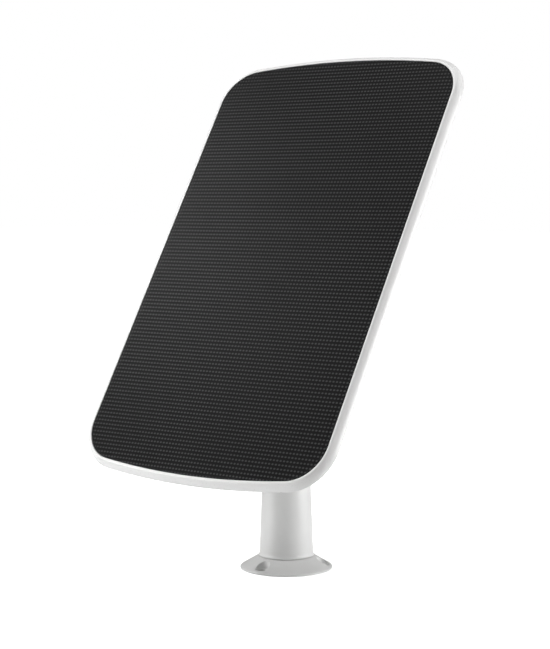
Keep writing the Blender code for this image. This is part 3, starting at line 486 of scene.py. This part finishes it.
def lofted(name, sections, closed=False, smoothAngle=32):
    # outlines at (offset, height) skinned in order
    loops = [[(x, y, height) for x, y in outlineAt(offset)] for offset, height in sections]
    count = len(loops[0])
    faces = []
    for k in range(len(loops) if closed else len(loops) - 1):
        here, there = k * count, (k + 1) % len(loops) * count
        faces += [(here + i, here + (i + 1) % count, there + (i + 1) % count, there + i)
                  for i in range(count)]
    if not closed:
        faces.append(tuple(range(count)))
        faces.append(tuple(range((len(loops) - 1) * count, len(loops) * count)))
    return meshFrom(name, [p for loop in loops for p in loop], faces, smoothAngle)


# front film: a real bump for each dot of the pattern

filmShape = {"bumpHeight": 0.12 * mm, "bumpReach": 0.3, "margin": 0.35 * mm, "edge": 0.12 * mm}


def frontFilm():
    front, back = filmHigh.z, filmLow.z
    stepX, stepY = filmLook["pitchAcross"], filmLook["pitchUp"]
    limit = -gap - filmShape["margin"]
    shape = bmesh.new()
    grid = {}

    def corner(i, j):
        if (i, j) not in grid:
            grid[i, j] = shape.verts.new((i * stepX, j * stepY, front - filmShape["bumpHeight"]))
        return grid[i, j]

    firstColumn = floor(filmLow.x / stepX) - 1
    firstRow = floor(filmLow.y / stepY) - 1
    for i in range(firstColumn, -firstColumn + 1):
        for j in range(firstRow, floor(filmHigh.y / stepY) + 2):
            corners = ((i, j), (i + 1, j), (i + 1, j + 1), (i, j + 1))
            if not all(isInside(a * stepX, b * stepY, limit) for a, b in corners):
                continue
            ring = [corner(a, b) for a, b in corners]
            centreX, centreY = (i + 0.5) * stepX, (j + 0.5) * stepY
            reach = filmShape["bumpReach"]
            sides = [
                shape.verts.new((centreX + a * reach * stepX, centreY + b * reach * stepY,
                                 front - filmShape["bumpHeight"] * 0.25))
                for a, b in ((0, -1), (1, 0), (0, 1), (-1, 0))
            ]
            top = shape.verts.new((centreX, centreY, front))
            for k in range(4):
                shape.faces.new((ring[k], ring[(k + 1) % 4], sides[k]))
                shape.faces.new((ring[(k + 1) % 4], sides[(k + 1) % 4], sides[k]))
                shape.faces.new((sides[k], sides[(k + 1) % 4], top))
    patchEdges = [edge for edge in shape.edges if edge.is_boundary]
    rings = []
    for offset, height in ((-gap - filmShape["edge"], front), (-gap, front - filmShape["edge"]),
                           (-gap, back)):
        rings.append([shape.verts.new((x, y, height)) for x, y in outlineAt(offset)])
    for high, low in zip(rings, rings[1:]):
        for i in range(len(high)):
            shape.faces.new((high[i - 1], high[i], low[i], low[i - 1]))
    shape.faces.new(rings[-1])
    rim = [shape.edges.get((rings[0][i - 1], rings[0][i])) for i in range(len(rings[0]))]
    bmesh.ops.triangle_fill(shape, use_beauty=True, use_dissolve=False, edges=patchEdges + rim)
    bmesh.ops.recalc_face_normals(shape, faces=shape.faces)
    mesh = bpy.data.meshes.new("frontFilm")
    shape.to_mesh(mesh)
    shape.free()
    mesh.shade_smooth()
    mesh.set_sharp_from_angle(angle=radians(40))
    return finish(stand("frontFilm", mesh, panelSpace), looks["dark_film"], "panel", "dark_film",
                  "front_film")


frontFilm()
print("film made")


# white frame round the film

frameShape = {
    "lipWidth": 1.0 * mm, "bulge": frameHigh.x - panelShape["halfWidth"], "bulgeDepth": 4.3 * mm,
    "backDepth": 5.0 * mm, "bend": (3.3 * mm, 1.4 * mm), "lipRound": 0.14 * mm, "turnRound": 0.3 * mm,
    "ledgeDepth": 3.8 * mm, "ledgeWidth": 7.0 * mm, "steps": 14,
}


def whiteFrame():
    front = frameHigh.z
    s = frameShape
    flare = []
    for i in range(s["steps"] + 1):
        t = i / s["steps"]
        width = s["lipWidth"] * (1 - t)**2 + 2 * s["bend"][0] * t * (1 - t) + s["bulge"] * t**2
        depth = 2 * s["bend"][1] * t * (1 - t) + s["bulgeDepth"] * t**2
        flare.append((width, front - depth))
    back = front - s["backDepth"]
    turn = softened([flare[-2], (s["bulge"], back), (s["bulge"] - 1.5 * mm, back)],
                    s["turnRound"] * 2, closed=False)[1:-1]
    lip = [(s["lipRound"] * (1 - cos(a * pi / 8)), front - s["lipRound"] * (1 - sin(a * pi / 8)))
           for a in range(5)]
    sections = lip + flare + turn + [
        (-s["ledgeWidth"], back), (-s["ledgeWidth"], front - s["ledgeDepth"]), (0, front - s["ledgeDepth"])]
    piece = stand("whiteFrame", lofted("whiteFrame", sections, closed=True, smoothAngle=40), panelSpace)
    return finish(piece, looks["frame_plastic"], "panel", "frame_plastic", "front_frame")


whiteFrame()
print("frame made")


# rear cover with its mount pad, screw recesses and outlet

coverShape = {
    "rim": 3.1 * mm, "rimTop": frameHigh.z - 5.3 * mm, "wall": 1.8 * mm, "lip": 1.9 * mm,
    "flatInset": 5.0 * mm, "padRadius": 12.0 * mm, "padHeight": 2.1 * mm, "sealDrop": 1.0 * mm,
    "recessRadius": 3.0 * mm, "recessDepth": 2.0 * mm,
}
panelBack = coverLow.z + coverShape["padHeight"]


def screwPlaces():
    # centres of the cover screws as the part has them
    places = []
    for i in range(1, 7):
        low, high = extent(f"cover_screw_{i}", panelSpace)
        places.append(((low.x + high.x) / 2, (low.y + high.y) / 2))
    return places


def rearCover():
    s = coverShape
    top, depth = s["rimTop"], s["rimTop"] - panelBack
    outer = softened([(s["rim"], top), (s["rim"] - 2.1 * mm, top - depth * 0.31),
                      (s["rim"] - 5.0 * mm, top - depth * 0.76), (-s["flatInset"], panelBack),
                      (-s["flatInset"] - 3 * mm, panelBack)],
                     [0, 3 * mm, 3 * mm, 5 * mm, 0], 6, closed=False)
    wall, lip = s["wall"], s["rim"] - s["lip"]
    inner = [(-s["flatInset"] - 1 * mm, panelBack + wall),
             (-s["flatInset"] + 1.2 * mm, panelBack + wall + 0.7 * mm),
             (lip - 2.6 * mm, top - s["sealDrop"] - 1.8 * mm), (lip - 2.1 * mm, top - s["sealDrop"]),
             (lip, top - s["sealDrop"]), (lip, top - 0.2 * mm), (lip + 0.2 * mm, top),
             (s["rim"] - 0.25 * mm, top)]
    outer = [(s["rim"], top - 0.25 * mm)] + outer[1:]
    piece = stand("rearCover", lofted("rearCover", list(reversed(outer)) + list(reversed(inner)),
                                      smoothAngle=30), panelSpace)
    pad = softened([(0, panelBack + 1 * mm), (s["padRadius"] + 1.4 * mm, panelBack + 1 * mm),
                    (s["padRadius"] + 1.2 * mm, panelBack - hair), (s["padRadius"], panelBack - 0.8 * mm),
                    (s["padRadius"], coverLow.z), (0, coverLow.z)], [0, 0, 0, 0.8 * mm, 0.4 * mm, 0], 6)
    carve(piece, stand("pad", turned("pad", pad), panelSpace), "UNION")
    insert = extent("threaded_insert", panelSpace)
    insertRadius = insert[1].x + gap
    boss = rodProfile(insertRadius + 3.7 * mm, panelBack + 1 * mm, insert[1].z)
    carve(piece, stand("boss", turned("boss", boss), panelSpace), "UNION")
    hole = rodProfile(insertRadius, coverLow.z - 1 * mm, insert[1].z + 1 * mm)
    carve(piece, stand("hole", turned("hole", hole), panelSpace))
    for x, y in screwPlaces():
        place = panelSpace @ Matrix.Translation((x, y, 0))
        radius, mouth = s["recessRadius"], s["recessRadius"] + 0.4 * mm
        recess = [(0, panelBack + s["recessDepth"]), (radius, panelBack + s["recessDepth"]),
                  (radius, panelBack + 0.3 * mm), (mouth, panelBack - 0.1 * mm),
                  (mouth, panelBack - 3 * mm), (0, panelBack - 3 * mm)]
        carve(piece, stand("recess", turned("recess", recess, 40), place))
    low, high = extent("cable_gland", panelSpace)
    place = panelSpace @ Matrix.Translation(((low.x + high.x) / 2, (low.y + high.y) / 2, 0))
    outlet = rodProfile(5.0 * mm, panelBack - 1 * mm, panelBack + 3 * mm)
    carve(piece, stand("outlet", turned("outlet", outlet, 48), place))
    return finish(piece, looks["white_plastic"], "panel", "white_plastic", "rear_cover")


rearCover()
print("rear cover made")


# cover screws: pan head with a cross recess, one mesh for all six

screwShape = {"shank": 1.2 * mm, "headHeight": 1.4 * mm, "crossReach": 1.5 * mm, "crossHalf": 0.32 * mm,
              "crossDepth": 0.8 * mm}


def coverScrews():
    s = screwShape
    low, high = extent("cover_screw_1", panelSpace)
    headRadius = (high.x - low.x) / 2
    headTop = low.z + s["headHeight"]
    profile = softened([(0, high.z), (s["shank"], high.z - s["shank"]), (s["shank"], headTop),
                        (headRadius, headTop), (headRadius, low.z), (0, low.z)],
                       [0, 0, 0, 0.15 * mm, 0.9 * mm, 0], 6)
    for number, (x, y) in enumerate(screwPlaces(), 1):
        place = panelSpace @ Matrix.Translation((x, y, 0))
        if number == 1:
            piece = stand("coverScrew1", turned("coverScrew", profile, 40), place)
            for wide, deep in ((s["crossReach"], s["crossHalf"]), (s["crossHalf"], s["crossReach"])):
                slot = box("slot", (-wide, -deep, low.z - 1 * mm), (wide, deep, low.z + s["crossDepth"]))
                carve(piece, stand("slot", slot, place))
            shared = piece.data
        else:
            piece = stand(f"coverScrew{number}", shared, place)
        finish(piece, looks["steel"], "panel", "steel", f"cover_screw_{number}")


coverScrews()


# cable outlet grommet and the brass insert

def outletGrommet():
    low, high = extent("cable_gland", panelSpace)
    place = panelSpace @ Matrix.Translation(((low.x + high.x) / 2, (low.y + high.y) / 2, 0))
    lip = (high.x - low.x) / 2
    outside = panelBack - gap
    profile = softened([
        (1.9 * mm, high.z), (lip - 0.8 * mm, high.z), (lip - 0.3 * mm, panelBack + 1.8 * mm + gap),
        (4.7 * mm, panelBack + 1.8 * mm + gap), (4.7 * mm, outside), (lip, outside),
        (lip - 0.2 * mm, low.z + 0.3 * mm), (3.4 * mm, low.z), (1.9 * mm, low.z)],
        [0.3 * mm, 0.5 * mm, 0.2 * mm, 0, 0, 0.2 * mm, 0.8 * mm, 0.5 * mm, 0.4 * mm])
    finish(stand("outletGrommet", turned("outletGrommet", profile, 64), place), looks["rubber"],
           "panel", "rubber", "cable_gland")


def threadTeeth(radius, low, high, pitch, depth):
    # ridges along a rod, from high to low
    points = []
    count = int((high - low) / pitch)
    for i in range(count):
        top = high - i * pitch
        points += [(radius - depth, top), (radius, top - pitch * 0.45), (radius, top - pitch * 0.55)]
    return points + [(radius - depth, high - count * pitch)]


def brassInsert():
    low, high = extent("threaded_insert", panelSpace)
    bore = mountThread["bore"]
    depth = 0.5 * mm
    teeth = threadTeeth(bore, low.z + 0.4 * mm, high.z - 0.4 * mm, mountThread["pitch"], depth)
    inside = [(r + depth, z) for r, z in teeth]
    profile = [(high.x - 0.4 * mm, high.z), (high.x, high.z - 0.4 * mm), (high.x, low.z + 0.4 * mm),
               (high.x - 0.4 * mm, low.z), (bore + 0.4 * mm, low.z)] + list(reversed(inside)) + [
               (bore + 0.4 * mm, high.z)]
    finish(stand("brassInsert", turned("brassInsert", profile, 64), panelSpace), looks["brass"],
           "panel", "brass", "threaded_insert")


outletGrommet()
brassInsert()


# ball with its neck, shoulder and thread, and the jam wheel and grip washer on it

def ballStud():
    high = extent("ball_stud", panelSpace)[1]
    ball = high.x
    neck, shoulder, shoulderLow, shoulderHigh = 3.5 * mm, 6.5 * mm, 14.63 * mm, 17.43 * mm
    start = asin(neck / ball)
    arc = [(ball * sin(start + (pi - start) * i / 40), ball * cos(start + (pi - start) * i / 40))
           for i in range(40)]
    flange = softened([(2.7 * mm, shoulderHigh), (shoulder, shoulderHigh), (shoulder, shoulderLow),
                       (neck, shoulderLow - 0.4 * mm), (neck, ball)],
                      [0, 0.4 * mm, 0.5 * mm, 0.9 * mm, 0], 6, closed=False)
    thread = threadTeeth(mountThread["radius"], shoulderHigh + 0.3 * mm, high.z - 0.5 * mm,
                         mountThread["pitch"], 0.45 * mm)
    profile = [(0, high.z), (2.4 * mm, high.z)] + thread + flange[:-1] + arc + [(0, -ball)]
    finish(stand("ballStud", turned("ballStud", profile, 96), panelSpace), looks["steel"], "ball", "steel",
           "ball_stud")


def jamWheel():
    low, high = extent("jam_wheel", panelSpace)
    radius = (high.x - low.x) / 2
    mesh = extruded("jamWheel", [lobed(radius, 12, 0.8 * mm), circle(mountThread["bore"], 48)],
                    low.z, high.z, 0.35 * mm)
    finish(stand("jamWheel", mesh, panelSpace), looks["black_plastic"], "wheel", "black_plastic",
           "jam_wheel")


def gripWasher():
    low, high = extent("grip_washer", panelSpace)
    profile = ringProfile(high.x, mountThread["bore"], low.z, high.z, 0.3 * mm)
    finish(stand("gripWasher", turned("gripWasher", profile), panelSpace), looks["rubber"], "grip",
           "rubber", "grip_washer")


ballStud()
jamWheel()
gripWasher()
print("ball joint made")


# socket housing with its drop notch, plug and pressure cup

headShape = {"radius": 13.0 * mm, "lipHeight": 4.5 * mm, "lipEase": 0.25 * mm, "notchHalf": 4.1 * mm,
             "seat": 9.3 * mm, "bossRadius": 5.0 * mm, "bossReach": 14.0 * mm, "lockHole": 2.5 * mm}


def socketHousing():
    s = headShape
    low, high = extent("ball_housing", headSpace)
    lip = acos((s["lipHeight"] - s["lipEase"]) / s["seat"])  # the seat stops below the eased lip
    turns = [pi / 2 + (lip - pi / 2) * i / 20 for i in range(21)]
    seat = [(s["seat"] * sin(turn), s["seat"] * cos(turn)) for turn in turns]
    outside = softened([(seat[-1][0] + 2 * s["lipEase"], s["lipHeight"]), (s["radius"], s["lipHeight"]),
                        (s["radius"], low.z), (s["seat"], low.z)], [0, 1.6 * mm, 0.35 * mm, 0], 8,
                       closed=False)
    piece = stand("socketHousing", turned("socketHousing", outside + seat, 128), headSpace)
    lockHeight = lockSpace.translation.z - ballCentre.z
    boss = rodProfile(s["bossRadius"], 10.5 * mm, s["bossReach"], 0.3 * mm)
    carve(piece, stand("boss", turned("boss", boss, 64), lockSpace), "UNION")
    half = s["notchHalf"]
    notch = [(half * cos(pi + pi * i / 24), half * sin(pi + pi * i / 24)) for i in range(25)]
    notch += [(half, 12 * mm), (-half, 12 * mm)]
    carve(piece, stand("notch", extruded("notch", [notch], 0, 30 * mm),
                       headSpace @ Matrix.Rotation(pi / 2, 4, "X")))
    carve(piece, stand("hole", turned("hole", rodProfile(s["lockHole"], 8 * mm, 16 * mm), 40), lockSpace))
    ease(piece, 0.25 * mm)
    finish(piece, looks["white_plastic"], "head", "white_plastic", "ball_housing")


def housingPlug():
    low, high = extent("housing_base", headSpace)
    flangeTop = low.z + 4.8 * mm
    bore, spigot = mountThread["bore"], 9.0 * mm
    profile = softened([(bore, high.z), (spigot, high.z), (spigot, flangeTop), (high.x, flangeTop),
                        (high.x, low.z), (bore, low.z)],
                       [0, 0.3 * mm, 0, 0.3 * mm, 0.6 * mm, 0], 5)
    piece = stand("housingPlug", turned("housingPlug", profile, 96), headSpace)
    finish(piece, looks["white_plastic"], "head", "white_plastic", "housing_base")


def lockKnob():
    low, high = extent("lock_knob", lockSpace)
    radius = (high.x - low.x) / 2
    mesh = extruded("lockKnob", [lobed(radius, 6, 1.0 * mm, 16), circle(2.5 * mm, 48)], low.z, high.z,
                    0.5 * mm)
    piece = stand("lockKnob", mesh, lockSpace)
    recess = rodProfile(4.3 * mm, high.z - 2.8 * mm, high.z + 1 * mm)
    carve(piece, stand("recess", turned("recess", recess, 48), lockSpace))
    finish(piece, looks["black_plastic"], "knob", "black_plastic", "lock_knob")


def lockScrew():
    low, high = extent("lock_screw", lockSpace)
    shank = 2.2 * mm
    headLow = high.z - 2.5 * mm
    profile = [(0, high.z - 0.9 * mm), (1.4 * mm, high.z - 0.9 * mm), (1.5 * mm, high.z)] + softened(
        [(1.5 * mm, high.z), (4.0 * mm, high.z), (4.0 * mm, headLow), (shank, headLow)],
        [0, 0.4 * mm, 0, 0], 5, closed=False)[1:]
    profile += threadTeeth(shank, low.z + shank + 0.3 * mm, headLow - 0.5 * mm, 0.8 * mm, 0.3 * mm)
    profile += [(shank - 0.1 * mm, low.z + shank), (0, low.z)]
    finish(stand("lockScrew", turned("lockScrew", profile, 64), lockSpace), looks["steel"], "knob", "steel",
           "lock_screw")


def lockWasher():
    low, high = extent("lock_washer", lockSpace)
    profile = ringProfile((high.x - low.x) / 2, 2.5 * mm, low.z, high.z, 0.2 * mm)
    finish(stand("lockWasher", turned("lockWasher", profile, 64), lockSpace), looks["nylon"], "lock_slide",
           "nylon", "lock_washer")


socketHousing()
housingPlug()
lockKnob()
lockScrew()
lockWasher()
print("head made")


# post: tapered tube on a fillet, its top plug and washer

postShape = {"lowRadius": 14.6 * mm, "footRadius": 15.35 * mm, "filletHeight": 2.1 * mm, "taper": 0.0376,
             "bore": 8.5 * mm, "socket": 9.3 * mm, "screwBore": 3.0 * mm}


def taperRadius(height, bottom):
    return postShape["lowRadius"] - postShape["taper"] * (height - bottom - postShape["filletHeight"])


def postTube():
    s = postShape
    low, high = extent("post_shell", postSpace)
    top, bottom = high.z, low.z
    fillet = []
    for i in range(13):
        share = i / 12
        fillet.append((s["lowRadius"] + (s["footRadius"] - s["lowRadius"]) * share**2.2,
                       bottom + s["filletHeight"] * (1 - share)))
    fillet[-1] = (s["footRadius"], bottom + 0.12 * mm)
    topRadius = taperRadius(top, bottom)
    profile = [(s["bore"], top), (topRadius - 0.4 * mm, top), (topRadius - 0.12 * mm, top - 0.1 * mm),
               (topRadius, top - 0.4 * mm)] + fillet + [
        (s["footRadius"] - 0.12 * mm, bottom), (s["socket"], bottom), (s["socket"], bottom + 5.1 * mm),
        (s["screwBore"], bottom + 5.1 * mm), (s["screwBore"], bottom + 18.8 * mm),
        (s["bore"], bottom + 18.8 * mm)]
    finish(stand("postTube", turned("postTube", profile, 160), postSpace), looks["white_plastic"], "mast",
           "white_plastic", "post_shell")


def postPlug():
    low, high = extent("post_cap", postSpace)
    collarLow = high.z - 2.0 * mm
    spigot = postShape["bore"] - gap
    bore = mountThread["bore"]
    profile = softened([(bore, high.z), (high.x, high.z), (high.x, collarLow), (spigot, collarLow),
                        (spigot, low.z), (bore, low.z)],
                       [0, 0.35 * mm, 0.2 * mm, 0, 0.5 * mm, 0], 5)
    finish(stand("postPlug", turned("postPlug", profile, 128), postSpace), looks["white_plastic"], "mast",
           "white_plastic", "post_cap")


def panWasher():
    low, high = extent("pan_washer", postSpace)
    profile = ringProfile(high.x, mountThread["bore"], low.z, high.z, 0.25 * mm)
    finish(stand("panWasher", turned("panWasher", profile, 96), postSpace), looks["nylon"], "mast", "nylon",
           "pan_washer")


# flange: low cone with a soft rim, three countersunk screw holes, hub inside the post

flangeShape = {"rimHeight": 1.35 * mm, "coneTop": 6.9 * mm, "hub": 9.0 * mm, "bore": 3.0 * mm,
               "coverRecess": 14.0 * mm, "recessTop": 1.5 * mm, "pocket": 7.0 * mm, "pocketTop": 5.9 * mm,
               "holeCircle": 20.5 * mm, "hole": 2.25 * mm, "counterbore": 3.95 * mm, "floor": 1.8 * mm,
               "holeAngles": (270, 30, 150), "edge": 0.16 * mm}


def baseFlange():
    s = flangeShape
    high = extent("base_flange", postSpace)[1]
    foot = postShape["footRadius"]
    profile = softened([
        (s["bore"], high.z), (s["hub"], high.z), (s["hub"], s["coneTop"]), (foot, s["coneTop"]),
        (high.x - 0.35 * mm, s["rimHeight"]), (high.x, s["rimHeight"] - 0.35 * mm), (high.x, 0),
        (s["coverRecess"], 0), (s["coverRecess"], s["recessTop"]), (s["pocket"], s["recessTop"]),
        (s["pocket"], s["pocketTop"]), (s["bore"], s["pocketTop"])],
        [0, 0.3 * mm, 0, 0.25 * mm, 0.5 * mm, 0.3 * mm, 0.3 * mm, 0, 0, 0, 0, 0], 5)
    piece = stand("baseFlange", turned("baseFlange", profile, 192), postSpace)
    for angle in s["holeAngles"]:
        turn = radians(angle)
        place = Matrix.Translation((s["holeCircle"] * cos(turn), s["holeCircle"] * sin(turn), 0))
        drill = softened([(0, 20 * mm), (s["counterbore"], 20 * mm), (s["counterbore"], s["floor"]),
                          (s["hole"] + 0.25 * mm, s["floor"]), (s["hole"], s["floor"] - 0.25 * mm),
                          (s["hole"], -1 * mm), (0, -1 * mm)], [0, 0, 0.3 * mm, 0, 0, 0, 0], 4)
        carve(piece, stand("drill", turned("drill", drill, 64), place))
    ease(piece, s["edge"], 38)
    finish(piece, looks["white_plastic"], "mast", "white_plastic", "base_flange")


def baseCover():
    high = extent("base_cover", postSpace)[1]
    profile = softened([(0, high.z), (high.x, high.z), (high.x, 0), (0, 0)], [0, 0.2 * mm, 0.3 * mm, 0])
    finish(stand("baseCover", turned("baseCover", profile, 96), postSpace), looks["white_plastic"], "mast",
           "white_plastic", "base_cover")


postTube()
postPlug()
panWasher()
baseFlange()
baseCover()
print("post and flange made")


# stage: floor, lights, camera

stageLook = {
    "paper": (0.93, 0.93, 0.93), "paperShade": (0.91, 0.91, 0.91), "bounce": (0.84, 0.84, 0.84),
    "paperGlow": 1.0, "paperDrop": 0.3 * mm, "bounceDrop": 0.6 * mm,
    "seen": 1.0, "fillLow": 0.07, "fillHigh": 0.12, "fillFrom": (0.6, -0.78, -0.15),
}
lamps = {
    "over": {"from": (-0.1, -0.1, 1.4), "to": (0, 0, 0.15), "size": 1.2, "watts": 12.5},
    "rightBack": {"from": (1.15, 0.62, 0.2), "to": (0, 0, 0.12), "size": 0.9, "watts": 17},
    "left": {"from": (-0.46, -0.50, 0.14), "to": (0, 0, 0.1), "size": 0.3, "watts": 2.0},
    "sheen": {"from": (-0.72, -0.28, 0.72), "to": (-0.05, 0, 0.2), "size": 0.3, "watts": 2.0},
}
cameraPlace = {"at": (0.5693, -0.7210, 0.2000), "turn": 38.68, "tip": 4.22, "lens": 95.0}


def floorSheet(name, low, tone, shade, glow):
    mesh = bpy.data.meshes.new(name)
    mesh.from_pydata([(-8, -8, 0), (8, -8, 0), (8, 8, 0), (-8, 8, 0)], [], [(0, 1, 2, 3)])
    made = Finish(name)
    grain = made.noise(40 * mm, 2.0)
    mesh.materials.append(made.set(Base_Color=made.blend(grain, tone, shade), Roughness=0.9,
                                   Emission_Color=(1.0, 1.0, 1.0), Emission_Strength=glow))
    sheet = stand(name, mesh, Matrix.Translation((0, 0, -low)))
    return sheet


def floorSheets():
    # the paper that is looked at, and a quieter one below it that light bounces off
    look = stageLook
    paper = floorSheet("floorPaper", look["paperDrop"], look["paper"], look["paperShade"],
                       look["paperGlow"])
    paper.visible_diffuse = False
    paper.visible_glossy = False
    paper.visible_shadow = False
    bounce = floorSheet("floorBounce", look["bounceDrop"], look["bounce"], look["bounce"], 0.0)
    bounce.visible_camera = False


def worldLight():
    # white where it is looked at, and a fill that grows towards one side where it lights
    world = bpy.data.worlds.new("softRoom")
    bpy.context.scene.world = world
    world.use_nodes = True
    tree = world.node_tree
    tree.nodes.clear()
    made = {name: tree.nodes.new(kind) for name, kind in (
        ("ray", "ShaderNodeLightPath"), ("seen", "ShaderNodeBackground"), ("fill", "ShaderNodeBackground"),
        ("mix", "ShaderNodeMixShader"), ("out", "ShaderNodeOutputWorld"), ("way", "ShaderNodeTexCoord"),
        ("side", "ShaderNodeVectorMath"), ("range", "ShaderNodeMapRange"))}
    made["side"].operation = "DOT_PRODUCT"
    made["side"].inputs[1].default_value = stageLook["fillFrom"]
    made["range"].inputs["From Min"].default_value = 0.0
    made["range"].inputs["From Max"].default_value = 1.0
    made["range"].inputs["To Min"].default_value = stageLook["fillLow"]
    made["range"].inputs["To Max"].default_value = stageLook["fillHigh"]
    made["seen"].inputs["Strength"].default_value = stageLook["seen"]
    made["seen"].inputs["Color"].default_value = (1, 1, 1, 1)
    made["fill"].inputs["Color"].default_value = (1, 1, 1, 1)
    tree.links.new(made["way"].outputs["Generated"], made["side"].inputs[0])
    tree.links.new(made["side"].outputs["Value"], made["range"].inputs["Value"])
    tree.links.new(made["range"].outputs["Result"], made["fill"].inputs["Strength"])
    tree.links.new(made["ray"].outputs["Is Camera Ray"], made["mix"].inputs[0])
    tree.links.new(made["fill"].outputs[0], made["mix"].inputs[1])
    tree.links.new(made["seen"].outputs[0], made["mix"].inputs[2])
    tree.links.new(made["mix"].outputs[0], made["out"].inputs[0])


def softLamps():
    for name, lamp in lamps.items():
        light = bpy.data.lights.new(name, "AREA")
        light.shape = "DISK"
        light.size = lamp["size"]
        light.energy = lamp["watts"]
        made = bpy.data.objects.new(name, light)
        made.location = lamp["from"]
        aim = Vector(lamp["to"]) - Vector(lamp["from"])
        made.rotation_euler = aim.to_track_quat("-Z", "Y").to_euler()
        bpy.context.scene.collection.objects.link(made)


def cameraStand():
    camera = bpy.data.cameras.new("camera")
    camera.lens = cameraPlace["lens"]
    camera.sensor_width = 36
    camera.clip_start = 0.01
    made = bpy.data.objects.new("camera", camera)
    made.location = cameraPlace["at"]
    made.rotation_euler = (radians(90 - cameraPlace["tip"]), 0, radians(cameraPlace["turn"]))
    bpy.context.scene.collection.objects.link(made)
    bpy.context.scene.camera = made


floorSheets()
worldLight()
softLamps()
cameraStand()
bpy.context.scene.view_settings.view_transform = "Standard"
print("stage ready")
